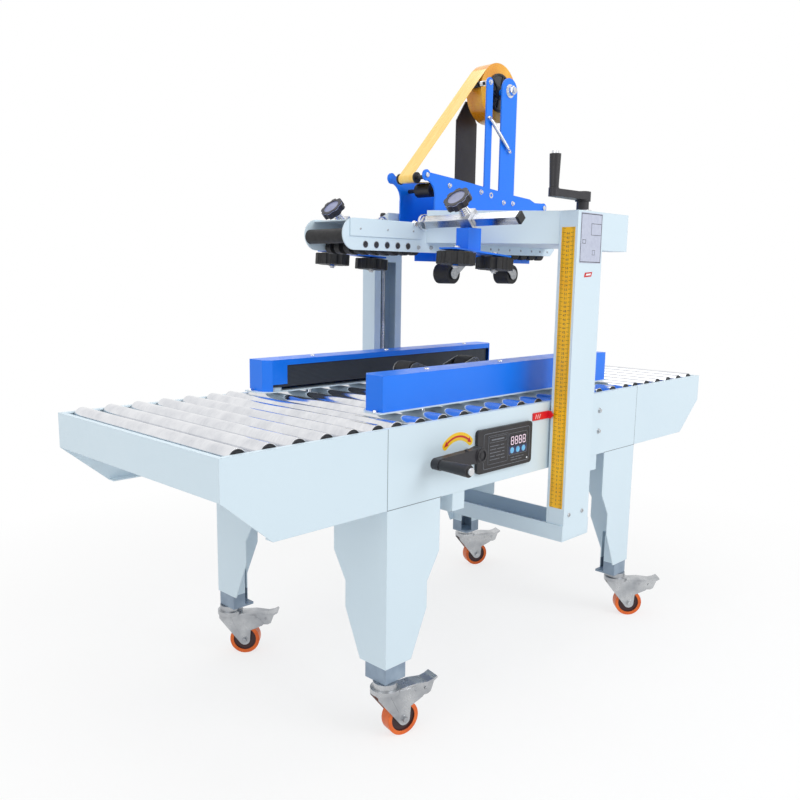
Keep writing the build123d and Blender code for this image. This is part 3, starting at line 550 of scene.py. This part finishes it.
def slab(bm, outline, origin, u, v, thickness):
    """A flat plate from an outline in two directions, thickened along their cross product."""
    u, v, o = Vector(u), Vector(v), Vector(origin)
    n = u.cross(v).normalized()
    low = [bm.verts.new(o + u * a + v * b) for a, b in outline]
    high = [bm.verts.new(o + u * a + v * b + n * thickness) for a, b in outline]
    bm.faces.new(low[::-1])
    bm.faces.new(high)
    count = len(outline)
    for i in range(count):
        j = (i + 1) % count
        bm.faces.new((low[i], low[j], high[j], high[i]))


def round_rect(width, height, radius, steps=5, cx=0.0, cy=0.0):
    points = []
    for sx, sy, start in ((1, 1, 0), (-1, 1, 90), (-1, -1, 180), (1, -1, 270)):
        for i in range(steps + 1):
            a = math.radians(start + 90 * i / steps)
            points.append(
                (cx + sx * (width / 2 - radius) + radius * math.cos(a), cy + sy * (height / 2 - radius) + radius * math.sin(a))
            )
    return points


def tube(bm, path, radius, count=12):
    """A round bar along a list of points."""
    points = [Vector(p) for p in path]
    rings = []
    for i, point in enumerate(points):
        along = points[min(i + 1, len(points) - 1)] - points[max(i - 1, 0)]
        u, v, n = frame_of(along)
        rings.append(
            [
                bm.verts.new(point + (u * math.cos(2 * math.pi * k / count) + v * math.sin(2 * math.pi * k / count)) * radius)
                for k in range(count)
            ]
        )
    for low, high in zip(rings, rings[1:]):
        for k in range(count):
            m = (k + 1) % count
            bm.faces.new((low[k], low[m], high[m], high[k]))
    bm.faces.new(rings[0][::-1])
    bm.faces.new(rings[-1])


def screw(bm, base, axis, length, radius, pitch, depth, count=20, step=0.25):
    """A bar with a real helical thread."""
    u, v, n = frame_of(axis)
    rows = int(length / (pitch * step))
    grid = []
    for r in range(rows + 1):
        h = length * r / rows
        ring = []
        for k in range(count):
            phase = (h / pitch - k / count) % 1.0
            lift = max(0.0, min(1.0, 2.2 * abs(phase - 0.5) - 0.1))
            angle = 2 * math.pi * k / count
            reach = radius - depth * lift
            ring.append(bm.verts.new(Vector(base) + n * h + (u * math.cos(angle) + v * math.sin(angle)) * reach))
        grid.append(ring)
    for low, high in zip(grid, grid[1:]):
        for k in range(count):
            m = (k + 1) % count
            bm.faces.new((low[k], low[m], high[m], high[k]))
    bm.faces.new(grid[0][::-1])
    bm.faces.new(grid[-1])


def piece(name, bm, material, body, smooth=35):
    """Turns a mesh drawn in millimetres from the centre line into a finished piece on a body."""
    for vert in bm.verts:
        vert.co = at(*vert.co)
    bmesh.ops.recalc_face_normals(bm, faces=bm.faces)
    mesh = bpy.data.meshes.new(name)
    bm.to_mesh(mesh)
    bm.free()
    obj = bpy.data.objects.new(name, mesh)
    bpy.context.scene.collection.objects.link(obj)
    mesh.materials.append(material)
    mesh.shade_smooth()
    mesh.set_sharp_from_angle(angle=math.radians(smooth))
    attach(obj, body)
    return obj


def hex_bolt(bm, place, axis, across=10.0, height=4.5, washer=0.0):
    """Hexagon head with chamfered corners, on a washer where one is asked."""
    r = across / 2 / math.cos(math.pi / 6)
    z = 0.0
    if washer:
        lathe(bm, place, axis, [(0, 0), (washer, 0), (washer, 1.0), (washer - 0.4, 1.3), (0, 1.3)], 24)
        z = 1.3
    lathe(bm, place, axis, [(0, z), (r, z), (r, z + height * 0.8), (r * 0.9, z + height), (0, z + height)], 6)


def button_bolt(bm, place, axis, radius=5.0, height=2.8):
    """Domed head with a socket."""
    profile = [(0, 0), (radius, 0), (radius, height * 0.3), (radius * 0.86, height * 0.75), (radius * 0.55, height)]
    profile += [(radius * 0.45, height), (radius * 0.42, height * 0.45), (0, height * 0.4)]
    lathe(bm, place, axis, profile, 20)


NEAR, FAR = (0, -1, 0), (0, 1, 0)

# Screws on the panels and two bolts on the near column
bm = bmesh.new()
for x, z in ((297, 622), (297, 567)):
    hex_bolt(bm, (x, -304, z), NEAR, 9, 4, 7)
    hex_bolt(bm, (x, 304, z), FAR, 9, 4, 7)
piece("panel_screws", bm, zinc, "base")

bm = bmesh.new()
for x in (84.5, 143.5):
    button_bolt(bm, (x, -359, 391.5), NEAR, 5.5, 3)
piece("column_bolts", bm, zinc, "mast")

# Roller end caps
bm = bmesh.new()
ROLLER_END = 289
CAP = [(0, 0.0), (17.6, 0.0), (17.6, 1.3), (15.6, 1.3), (14.6, 0.5), (10.5, 0.5), (9.6, 2.2), (5.6, 2.2), (5.6, 0.6), (0, 0.6)]
rows = [-838 + 66 * i for i in range(6)] + [838 - 66 * i for i in range(6)] + [-455 + 70 * i for i in range(14)]
for x in rows:
    lathe(bm, (x, -ROLLER_END, 660), NEAR, CAP, 20)
    lathe(bm, (x, ROLLER_END, 660), FAR, CAP, 20)
piece("roller_end_caps", bm, black_plastic, "base")

# Control panel
PANEL_X, PANEL_Z = (-222, -18), (534, 633)
FACE = -312


def on_panel(u, v):
    return (PANEL_X[0] + u * (PANEL_X[1] - PANEL_X[0]), PANEL_Z[1] - v * (PANEL_Z[1] - PANEL_Z[0]))


def panel_frame(bm, u0, u1, v0, v1, width, lift, radius=3.0):
    """A thin rounded frame line that stands on the panel's face."""
    x0, z0 = on_panel(u0, v1)
    x1, z1 = on_panel(u1, v0)
    cx, cz = (x0 + x1) / 2, (z0 + z1) / 2
    outer = round_rect(x1 - x0, z1 - z0, radius, 4, cx, cz)
    inner = round_rect(x1 - x0 - 2 * width, z1 - z0 - 2 * width, max(radius - width, 0.4), 4, cx, cz)
    layers = []
    for y in (FACE, FACE - lift):
        layers.append(([bm.verts.new((a, y, b)) for a, b in outer], [bm.verts.new((a, y, b)) for a, b in inner]))
    (o0, i0), (o1, i1) = layers
    for k in range(len(outer)):
        m = (k + 1) % len(outer)
        bm.faces.new((o0[k], o0[m], o1[m], o1[k]))
        bm.faces.new((i0[k], i0[m], i1[m], i1[k]))
        bm.faces.new((o1[k], o1[m], i1[m], i1[k]))
        bm.faces.new((o0[k], o0[m], i0[m], i0[k]))


def panel_bar(bm, u, v, width, height, lift):
    x, z = on_panel(u, v)
    slab(bm, [(0, 0), (width, 0), (width, height), (0, height)], (x, FACE, z), (1, 0, 0), (0, 0, 1), lift)


bm = bmesh.new()
panel_frame(bm, 0.10, 0.95, 0.10, 0.92, 1.0, 0.6, 6)
panel_frame(bm, 0.18, 0.535, 0.165, 0.83, 0.7, 0.5)
panel_frame(bm, 0.20, 0.51, 0.20, 0.33, 0.6, 0.5, 2)
panel_frame(bm, 0.555, 0.90, 0.20, 0.72, 0.7, 0.5)
for row, lengths in enumerate(((34, 12), (22, 26), (40, 8), (18, 30), (36, 14))):
    start = 0.215
    for length in lengths:
        panel_bar(bm, start, 0.42 + 0.078 * row, length, 1.5, 0.4)
        start += (length + 5) / 204
panel_bar(bm, 0.24, 0.285, 46, 3.0, 0.4)
for row, lengths in enumerate(((14, 20, 8), (26, 12))):
    start = 0.60
    for length in lengths:
        panel_bar(bm, start, 0.79 + 0.06 * row, length, 1.4, 0.4)
        start += (length + 4) / 204
piece("panel_print", bm, panel_line, "base")

bm = bmesh.new()
x0, z0 = on_panel(0.565, 0.505)
x1, z1 = on_panel(0.892, 0.255)
outline = round_rect(x1 - x0, z1 - z0, 2.0, 4, (x0 + x1) / 2, (z0 + z1) / 2)
slab(bm, outline, (0, FACE, 0), (1, 0, 0), (0, 0, 1), 0.9)
piece("display_window", bm, panel_glass, "base")

bm = bmesh.new()
SEGMENTS = ((0, 1, 1, 1), (0, 0.5, 1, 0.5), (0, 0, 1, 0), (0, 0.5, 0, 1), (1, 0.5, 1, 1), (0, 0, 0, 0.5), (1, 0, 1, 0.5))
for digit in range(4):
    dx, dz = on_panel(0.595 + 0.074 * digit, 0.47)
    wide, tall, half = 9.0, 17.5, 0.85
    for a0, b0, a1, b1 in SEGMENTS:
        px, pz, qx, qz = dx + a0 * wide, dz + b0 * tall, dx + a1 * wide, dz + b1 * tall
        if pz == qz:
            outline = [(px + 1, pz - half), (qx - 1, pz - half), (qx - 0.3, pz), (qx - 1, pz + half), (px + 1, pz + half), (px + 0.3, pz)]
        else:
            outline = [(px - half, pz + 1), (px, pz + 0.3), (px + half, pz + 1), (px + half, qz - 1), (px, qz - 0.3), (px - half, qz - 1)]
        slab(bm, outline, (0, FACE - 0.9, 0), (1, 0, 0), (0, 0, 1), 0.3)
piece("display_digits", bm, digit_light, "base")

bm = bmesh.new()
x0, z0 = on_panel(0.56, 0.695)
x1, z1 = on_panel(0.895, 0.52)
slab(bm, round_rect(x1 - x0, z1 - z0, 2.0, 4, (x0 + x1) / 2, (z0 + z1) / 2), (0, FACE, 0), (1, 0, 0), (0, 0, 1), 0.6)
piece("button_band", bm, panel_blue, "base")
bm = bmesh.new()
rims = bmesh.new()
for u in (0.614, 0.722, 0.830):
    x, z = on_panel(u, 0.608)
    lathe(bm, (x, FACE - 0.6, z), NEAR, [(0, 0), (6.8, 0), (6.8, 0.9), (6.2, 1.5), (0, 1.9)], 28)
    lathe(rims, (x, FACE - 0.6, z), NEAR, [(7.4, 0), (8.2, 0), (8.2, 0.7), (7.4, 0.7), (7.4, 0)], 28)
piece("panel_buttons", bm, button_blue, "base")
piece("button_rims", rims, panel_line, "base")
bm = bmesh.new()
x, z = on_panel(0.908, 0.864)
lathe(bm, (x, FACE, z), NEAR, [(0, 0), (2.2, 0), (2.2, 0.6), (1.4, 1.4), (0, 1.7)], 16)
piece("panel_lamp", bm, label_white, "base")

# Yellow arrow label on the panel, beside the width crank
bm = bmesh.new()
arrow = bmesh.new()
LABEL_X, LABEL_Z, LABEL_R = -281, 566, 62


def arc_band(bm, r0, r1, a0, a1, y, thickness, steps=20):
    """A bent strip between two radii about the label's centre."""
    def point(r, a):
        return (LABEL_X + r * math.cos(math.radians(a)), LABEL_Z + r * math.sin(math.radians(a)))
    outline = [point(r0, a0 + (a1 - a0) * i / steps) for i in range(steps + 1)]
    outline += [point(r1, a1 + (a0 - a1) * i / steps) for i in range(steps + 1)]
    slab(bm, outline[::-1], (0, y, 0), (1, 0, 0), (0, 0, 1), thickness)


def end_disc(bm, radius, angle, size, y, thickness):
    x = LABEL_X + radius * math.cos(math.radians(angle))
    z = LABEL_Z + radius * math.sin(math.radians(angle))
    lathe(bm, (x, y, z), NEAR, [(0, 0), (size, 0), (size, thickness), (0, thickness)], 24)


arc_band(bm, LABEL_R - 9, LABEL_R + 9, 48, 132, -304, 0.3)
end_disc(bm, LABEL_R, 48, 9, -304, 0.32)
end_disc(bm, LABEL_R, 132, 9, -304, 0.32)
piece("arrow_label", bm, label_yellow, "base")
arc_band(arrow, LABEL_R - 2.2, LABEL_R + 2.2, 56, 124, -304.35, 0.2)
for angle, sign in ((52, 1), (128, -1)):
    x = LABEL_X + LABEL_R * math.cos(math.radians(angle))
    z = LABEL_Z + LABEL_R * math.sin(math.radians(angle))
    along = math.radians(angle - sign * 90)
    ax, az = math.cos(along), math.sin(along)
    outline = [(x + ax * 9, z + az * 9), (x - ax * 4 - az * 6, z - az * 4 + ax * 6), (x - ax * 4 + az * 6, z - az * 4 - ax * 6)]
    slab(arrow, outline, (0, -304.35, 0), (1, 0, 0), (0, 0, 1), 0.2)
piece("label_arrow", arrow, label_red, "base")

# Marks on the height pointer
bm = bmesh.new()
for x in (0, 8, 16):
    slab(bm, [(x, 634), (x + 1.6, 634), (x + 5.6, 644), (x + 4, 644)], (0, -307, 0), (1, 0, 0), (0, 0, 1), 0.25)
piece("pointer_marks", bm, label_white, "base")

# Plate and bare sticker on the near column
bm = bmesh.new()
slab(bm, round_rect(93, 116, 1.5, 3, 121, 1059), (0, -359, 0), (1, 0, 0), (0, 0, 1), 0.5)
piece("column_plate", bm, plate_grey, "mast")
bm = bmesh.new()
lines = [
    ((76, 1003), (77.6, 1115)), ((164.4, 1003), (166, 1115)), ((76, 1113.4), (166, 1115)), ((76, 1003), (166, 1004.6)),
    ((120, 1066), (163, 1067)), ((120, 1092), (163, 1093)), ((120, 1067), (121, 1092)), ((84, 1046), (98, 1047)),
    ((84, 1054), (98, 1055)), ((84, 1046), (85, 1055)), ((97, 1046), (98, 1055)),
]
for (ax, az), (bx, bz) in lines:
    slab(bm, [(ax, az), (bx, az), (bx, bz), (ax, bz)], (0, -359.5, 0), (1, 0, 0), (0, 0, 1), 0.2)
lathe(bm, (134, -359.5, 1026), NEAR, [(7, 0), (8, 0), (8, 0.2), (7, 0.2), (7, 0)], 4)
piece("column_plate_lines", bm, ink, "mast")
bm = bmesh.new()
slab(bm, [(98, 968), (130, 970), (134, 981), (102, 979)], (0, -359, 0), (1, 0, 0), (0, 0, 1), 0.3)
piece("column_sticker", bm, label_red, "mast")
bm = bmesh.new()
slab(bm, [(106, 972), (126, 973.2), (128, 977.4), (108, 976.2)], (0, -359.3, 0), (1, 0, 0), (0, 0, 1), 0.15)
piece("sticker_mark", bm, label_white, "mast")

# Numbers on the ruler
bm = bmesh.new()
digits = {}
for char in "0123456789":
    curve = bpy.data.curves.new("digit", "FONT")
    curve.body = char
    curve.resolution_u = 2
    curve.align_x = "CENTER"
    source = bpy.data.objects.new("digit", curve)
    flat = bpy.data.meshes.new_from_object(source)
    digits[char] = ([tuple(v.co) for v in flat.vertices], [tuple(poly.vertices) for poly in flat.polygons])
    bpy.data.objects.remove(source)
    bpy.data.curves.remove(curve)
    bpy.data.meshes.remove(flat)
SIZE = 8.0
for mark in range(1, 67):
    text = str(mark)
    z = 409 + 10 * mark
    for i, char in enumerate(text):
        verts, faces = digits[char]
        shift = (i - (len(text) - 1) / 2) * SIZE * 0.56
        made = [bm.verts.new((60.9, -335 - (vx * SIZE + shift), z + (vy - 0.35) * SIZE)) for vx, vy, _ in verts]
        for face in faces:
            bm.faces.new([made[k] for k in face])
piece("ruler_numbers", bm, ink, "mast")

# Upper head: axle caps, screws, bar bolts
bm = bmesh.new()
rims = bmesh.new()
for x in (-332, -298, -263.5, -229, -194.6):
    for axis, y in ((NEAR, -65), (FAR, 65)):
        lathe(bm, (x, y, 1035), axis, [(0, 0), (6.6, 0), (6.6, 1.2), (5.6, 2.0), (3.4, 2.0), (3.0, 1.2), (0, 1.2)], 24)
        lathe(rims, (x, y, 1035), axis, [(6.8, 0), (8.0, 0), (8.0, 0.5), (6.8, 0.5), (6.8, 0)], 24)
piece("skate_axle_caps", bm, black_plastic, "mast")
piece("skate_axle_rims", rims, zinc, "mast")
bm = bmesh.new()
for axis, side in ((NEAR, -1), (FAR, 1)):
    for x, z in ((-159.5, 1033.5), (-115.2, 1034)):
        hex_bolt(bm, (x, side * 65, z), axis, 7, 3.5, 5)
    for x, z in ((-350, 1068), (-265, 1069), (-180, 1070)):
        button_bolt(bm, (x, side * 68, z), axis, 2.6, 1.4)
    for x in (118, 152, 200, 250, 300, 340, 376):
        button_bolt(bm, (x, side * 65, 1037), axis, 3.0, 1.8)
piece("head_screws", bm, zinc, "mast")
bm = bmesh.new()
for side, axis in ((-1, NEAR), (1, FAR)):
    hex_bolt(bm, (-175, side * 65, 1086), axis, 12, 7, 9)
    lathe(bm, (-147, side * 68, 1092), axis, [(17, 0), (19, 0), (19, 5), (17, 5), (17, 0)], 32)
piece("bar_seat_bolts", bm, chrome, "mast")

# Tape head: bolts, nuts and the spring
bm = bmesh.new()
for axis, side in ((NEAR, -1), (FAR, 1)):
    for x, z in ((-46, 1185), (77, 1179), (172, 1159), (212, 1159.5), (-20, 1092), (290, 1092)):
        hex_bolt(bm, (x, side * 60, z), axis, 8, 4, 6.5)
    lathe(bm, (119, side * 60, 1174), axis, [(4.0, 0), (7.5, 0), (7.5, 0.8), (4.0, 0.8), (4.0, 0)], 24)
    for x, z, r in ((-128, 1203, 6.0), (357, 1157, 6.5)):
        lathe(bm, (x, side * 60, z), axis, [(0, 0), (r, 0), (r, 3), (r - 1.5, 4.5), (0, 4.5)], 24)
piece("tape_head_bolts", bm, chrome, "mast")
bm = bmesh.new()
lathe(bm, (184, -60, 1440), NEAR, [(8.2, 0), (17, 0), (17, 1.6), (8.2, 1.6), (8.2, 0)], 32)
hex_bolt(bm, (184, -61.6, 1440), NEAR, 21, 12)
lathe(bm, (184, -73.6, 1440), NEAR, [(0, 0), (7, 0), (7, 4), (5.5, 5.4), (0, 5.4)], 24)
lathe(bm, (184, -56, 1440), FAR, [(8.2, 0), (13, 0), (13, 14), (11, 16), (8.2, 16), (8.2, 0)], 28)
lathe(bm, (102, -60, 1449), NEAR, [(0, 0), (6.5, 0), (6.5, 1.2), (4.6, 1.2), (4.6, 4.6), (3.6, 5.4), (0, 5.4)], 20)
lathe(bm, (102, -56, 1449), FAR, [(4.2, 0), (8, 0), (8, 6), (4.2, 6), (4.2, 0)], 20)
lathe(bm, (102, -40, 1449), FAR, [(4.2, 0), (7, 0), (7, 9), (4.2, 9), (4.2, 0)], 20)
piece("spindle_nuts", bm, chrome, "mast")

bm = bmesh.new()
top, foot = Vector((97, -66, 1363)), Vector((186, -66, 1288))
along = (foot - top).normalized()
length = (foot - top).length
profile = [(0, 8), (3.0, 8)]
steps = 34
for i in range(steps):
    h = 10 + (length - 24) * i / steps
    d = (length - 24) / steps
    profile += [(4.1, h), (4.7, h + d * 0.35), (4.7, h + d * 0.65), (4.1, h + d)]
profile += [(3.0, length - 10), (0, length - 10)]
lathe(bm, top, along, profile, 20)
for place, sign in ((top, 1), (foot, -1)):
    ring = []
    for i in range(13):
        a = 2 * math.pi * i / 12
        ring.append(place + along * sign * 4 + Vector((math.cos(a) * 4.2, 0.0, math.sin(a) * 4.2)))
    tube(bm, ring, 0.9, 8)
    tube(bm, [place + along * sign * 7.5, place + along * sign * 11], 0.9, 8)
button_bolt(bm, (97, -60, 1363), NEAR, 4.5, 8.5)
button_bolt(bm, (186, -60, 1288), NEAR, 4.5, 8.5)
piece("nip_spring", bm, chrome, "mast")

# Reel hub: rim, spokes and collar on both sides
bm = bmesh.new()
for axis, side in ((NEAR, -1), (FAR, 1)):
    lathe(bm, (184, side * 28, 1440), axis, [(42, 0), (47.6, 0), (47.6, 1.6), (46.4, 2.6), (43, 2.6), (42, 1.6), (42, 0)], 48)
    lathe(bm, (184, side * 28, 1440), axis, [(8.4, 0), (17, 0), (17, 2.2), (15, 3.0), (8.4, 3.0), (8.4, 0)], 36)
    for k in range(6):
        a = math.radians(60 * k + 15)
        c, s_ = math.cos(a), math.sin(a)
        outline = [(16 * c - 2 * s_, 16 * s_ + 2 * c), (16 * c + 2 * s_, 16 * s_ - 2 * c), (43 * c + 2 * s_, 43 * s_ - 2 * c), (43 * c - 2 * s_, 43 * s_ + 2 * c)]
        slab(bm, outline, (184, side * 28 + (-2.0 if side < 0 else 0.0), 1440), (1, 0, 0), (0, 0, 1), -2.0)
piece("reel_hub_ribs", bm, black_plastic, "reel")

# Lift screws with real threads, and what tops them
bm = bmesh.new()
screw(bm, (117.5, -334, 327.2), (0, 0, 1), 794.6, 9.0, 5.0, 1.3)
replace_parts(piece("lift_thread_near", bm, zinc, "height_crank", 60), "lift_screw_near")
bm = bmesh.new()
screw(bm, (117.5, 334, 327.2), (0, 0, 1), 793.6, 9.0, 5.0, 1.3)
lathe(bm, (117.5, 334, 1120.5), (0, 0, 1), [(0, 0), (6, 0), (6, 20), (0, 20)], 20)
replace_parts(piece("lift_thread_far", bm, zinc, "far_screw", 60), "lift_screw_far")
bm = bmesh.new()
lathe(bm, (117.5, 334, 1121.2), (0, 0, 1), [(0, 0), (9, 0), (9, 17), (7.6, 24), (5, 25.8), (0, 25.8)], 28)
piece("far_screw_cap", bm, black_plastic, "far_screw")
bm = bmesh.new()
for side in (-1, 1):
    lathe(bm, (117.5, side * 334, 1121), (0, 0, 1), [(15.2, 0), (22, 0), (22, 2.4), (21, 3.2), (15.2, 3.2), (15.2, 0)], 36)
piece("screw_bearing_rings", bm, chrome, "mast")
bm = bmesh.new()
screw(bm, (-250, -317.5, 588), (0, 1, 0), 617, 7.0, 4.0, 1.0)
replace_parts(piece("width_thread", bm, zinc, "width_crank", 60), "width_screw")

# Crank hubs: a ring and a set screw
bm = bmesh.new()
lathe(bm, (117.5, -334, 1166), (0, 0, 1), [(11.5, 0), (14, 0), (14, 0.9), (11.5, 0.9), (11.5, 0)], 32)
piece("height_hub_ring", bm, black_plastic, "height_crank")
bm = bmesh.new()
lathe(bm, (-250, -346, 588), NEAR, [(11.5, 0), (15, 0), (15, 1.6), (14, 2.2), (11.5, 2.2), (11.5, 0)], 32)
lathe(bm, (-250, -346, 588), NEAR, [(0, 0), (7, 0), (7, 0.8), (6, 1.2), (0, 1.2)], 28)
lathe(bm, (-292, -338, 602), (0.14, 0, 1), [(0, 0), (4.5, 0), (4.5, 3), (3.5, 4), (0, 4)], 16)
piece("width_hub_ring", bm, black_plastic, "width_crank")

# Stud rings between clamp and knob, and nuts on the press roller axles
for side_name, side in (("near", -1), ("far", 1)):
    bm = bmesh.new()
    origin = Vector((-147, side * 208, 1092))
    tilt = Vector((-0.70711, 0, 0.70711))
    profile = [(6.1, 18.2)]
    h, r = 18.2, 14.0
    while h < 46:
        profile += [(r, h), (r, h + 2.6), (r - 2.2, h + 3.2), (r - 2.2, h + 4.2)]
        h += 4.6
        r -= 1.0
    profile += [(6.1, h), (6.1, 18.2)]
    lathe(bm, origin, tilt, profile, 28)
    piece("stud_rings_" + side_name, bm, chrome, "press_" + side_name)
    bm = bmesh.new()
    for dx in (-41, 99):
        slope = math.radians(4)
        place = Vector((-147 + dx * math.cos(slope), side * 208, 1025 - dx * math.sin(slope)))
        normal = Vector((math.sin(slope), 0, math.cos(slope)))
        hex_bolt(bm, place, normal, 12, 5, 9)
        hex_bolt(bm, place - normal * 38, -normal, 10, 4, 9)
    piece("press_roller_nuts_" + side_name, bm, zinc, "press_" + side_name)

# Drive units: screws on the lids, nuts on the base plates, spacers on the posts
for side_name, side in (("near", -1), ("far", 1)):
    bm = bmesh.new()
    for x in (-267, 0, 338):
        button_bolt(bm, (x, side * 197, 763), (0, 0, 1), 6, 3.4)
    for x in (-446, 446):
        hex_bolt(bm, (x, side * 217, 687), (0, 0, 1), 9, 4, 7)
    for x in (-280, 280):
        lathe(bm, (x, side * 197, 684), (0, 0, -1), [(6.2, 0), (11, 0), (11, 5), (8, 6), (8, 18), (6.2, 18), (6.2, 0)], 24)
        hex_bolt(bm, (x, side * 197, 625), (0, 0, 1), 20, 8, 12)
    piece("drive_fasteners_" + side_name, bm, chrome, "drive_" + side_name)

# Casters: axle nuts, rivets on the pedal, ball race between the swivel rings
for corner, (foot_x, foot_y, turn_deg) in CASTERS.items():
    heading = math.radians(turn_deg)
    ahead = Vector((math.cos(heading), math.sin(heading), 0))
    across = Vector((-math.sin(heading), math.cos(heading), 0))
    foot = Vector((foot_x, foot_y, 0))
    bm = bmesh.new()
    for sign in (-1, 1):
        hub = foot + ahead * TRAIL + across * sign * 18.5 + Vector((0, 0, 37.5))
        hex_bolt(bm, hub, across * sign, 11, 5, 9)
        for reach, z in ((66, 96), (92, 94)):
            button_bolt(bm, foot + ahead * reach + across * sign * 18.4 + Vector((0, 0, z)), across * sign, 3.0, 1.8)
        crease = [foot + ahead * 2 + across * sign * 18.6 + Vector((0, 0, 100)), foot + ahead * 24 + across * sign * 18.6 + Vector((0, 0, 56))]
        tube(bm, crease, 0.8, 8)
    for k in range(5):
        reach = 72 + 6 * k
        base_z = 108.6 - 0.35 * 6 * k * 0.3
        tube(bm, [foot + ahead * reach - across * 15 + Vector((0, 0, base_z)), foot + ahead * reach + across * 15 + Vector((0, 0, base_z))], 1.0, 8)
    lathe(bm, foot + Vector((0, 0, 112.4)), (0, 0, 1), [(26, 0), (29, 0.6), (29, 2.4), (26, 3.0), (26, 0)], 36)
    piece("caster_fittings_" + corner, bm, zinc, "fork_" + corner)

# Grey side plates of the lower tape arms
for name, body, roller_x, pivot_x in (("front", "lower_arm_front", -120, -40), ("rear", "lower_arm_rear", 110, 30)):
    bm = bmesh.new()
    sign = 1 if pivot_x > roller_x else -1
    arc = []
    for i in range(13):
        a = math.radians(240 - 170 * i / 12)
        arc.append((roller_x + sign * 24 * math.cos(a), 730 + 24 * math.sin(a)))
    outline = arc + [(roller_x + sign * 62, 734), (roller_x + sign * 66, 722), (roller_x + sign * 40, 694)]
    for y in (-29.6, 28.2):
        slab(bm, outline, (0, y, 0), (1, 0, 0), (0, 0, 1), -1.4)
    piece("lower_arm_cheeks_" + name, bm, zinc, body)

# Camera

view_point = Vector((-1617.957 * MM, -1418.017 * MM + CENTER_Y, 967.308 * MM))
yaw, pitch, roll = -0.788227649, 0.168004397, 0.011718279
forward = Vector((math.sin(-yaw) * math.cos(pitch), math.cos(-yaw) * math.cos(pitch), -math.sin(pitch)))
right = forward.cross(Vector((0, 0, 1))).normalized()
up = right.cross(forward)
right_rolled = right * math.cos(roll) + up * math.sin(roll)
up_rolled = up * math.cos(roll) - right * math.sin(roll)
camera_data = bpy.data.cameras.new("camera")
camera = bpy.data.objects.new("camera", camera_data)
bpy.context.scene.collection.objects.link(camera)
turn = Matrix((right_rolled, up_rolled, -forward)).transposed()
camera.matrix_world = Matrix.Translation(view_point) @ turn.to_4x4()
camera_data.sensor_width = 36.0
camera_data.lens = 822.326 * 36.0 / 800.0
camera_data.shift_x = (400 - 387.141) / 800
camera_data.shift_y = (414.865 - 400) / 800
camera_data.clip_start = 0.05
camera_data.clip_end = 50.0
bpy.context.scene.camera = camera

# Stage and light


SEEN = ("Is Camera Ray", "Is Glossy Ray", "Is Transmission Ray")


def seen_rays(nodes_, links):
    """1 for the rays that show the background: straight, mirrored or through glass."""
    path = nodes_.new("ShaderNodeLightPath")
    total = path.outputs[SEEN[0]]
    for name in SEEN[1:]:
        top = nodes_.new("ShaderNodeMath")
        top.operation = "MAXIMUM"
        links.new(total, top.inputs[0])
        links.new(path.outputs[name], top.inputs[1])
        total = top.outputs[0]
    return total


def floor_material():
    """Pale floor that reads white, keeps the object's shadow and fades into the backdrop."""
    g = Graph("studio_floor")
    g.surface(g.mix(g.ramp(g.noise(2.0), 0.3, 0.7), (0.90, 0.90, 0.90, 1), (0.92, 0.92, 0.92, 1)), 0.9)
    g.set(Specular_IOR_Level=0.0)
    length = g.add("ShaderNodeVectorMath", operation="LENGTH")
    g.link(g.point, length.inputs[0])
    glow = g.add("ShaderNodeEmission")
    glow.inputs["Strength"].default_value = 1.0
    share = g.ramp(length.outputs["Value"], 0.9, 1.9, 0.72, 1.0)
    share = g.math("MULTIPLY", share, seen_rays(g.tree.nodes, g.tree.links))
    blend = g.add("ShaderNodeMixShader")
    g.link(share, blend.inputs[0])
    g.link(g.bsdf.outputs[0], blend.inputs[1])
    g.link(glow.outputs[0], blend.inputs[2])
    g.link(blend.outputs[0], g.tree.nodes["Material Output"].inputs["Surface"])
    return g.mat


bpy.ops.mesh.primitive_plane_add(size=24.0, location=(0, 0, 0))
floor = bpy.context.object
floor.name = "floor"
floor.data.materials.append(floor_material())

world = bpy.data.worlds.new("studio")
world.use_nodes = True
bpy.context.scene.world = world
tree = world.node_tree
background = tree.nodes["Background"]
background.inputs["Color"].default_value = (1, 1, 1, 1)
background.inputs["Strength"].default_value = 0.62
pure = tree.nodes.new("ShaderNodeBackground")
pure.inputs["Color"].default_value = (1, 1, 1, 1)
pure.inputs["Strength"].default_value = 1.0
mixer = tree.nodes.new("ShaderNodeMixShader")
tree.links.new(seen_rays(tree.nodes, tree.links), mixer.inputs[0])
tree.links.new(background.outputs[0], mixer.inputs[1])
tree.links.new(pure.outputs[0], mixer.inputs[2])
tree.links.new(mixer.outputs[0], tree.nodes["World Output"].inputs["Surface"])


def area_light(name, place, target, size, power):
    data = bpy.data.lights.new(name, "AREA")
    data.shape = "SQUARE"
    data.size = size
    data.energy = power
    lamp = bpy.data.objects.new(name, data)
    bpy.context.scene.collection.objects.link(lamp)
    lamp.location = place
    lamp.rotation_euler = (Vector(target) - Vector(place)).to_track_quat("-Z", "Y").to_euler()
    return lamp


area_light("key", (0.6, -3.4, 2.9), (0, 0, 0.7), 2.4, 62)
area_light("fill", (-3.6, -0.6, 2.2), (0, 0, 0.7), 2.4, 24)
area_light("top", (0.0, 0.4, 4.0), (0, 0, 0.6), 3.0, 40)
bpy.context.scene.view_settings.view_transform = "Standard"
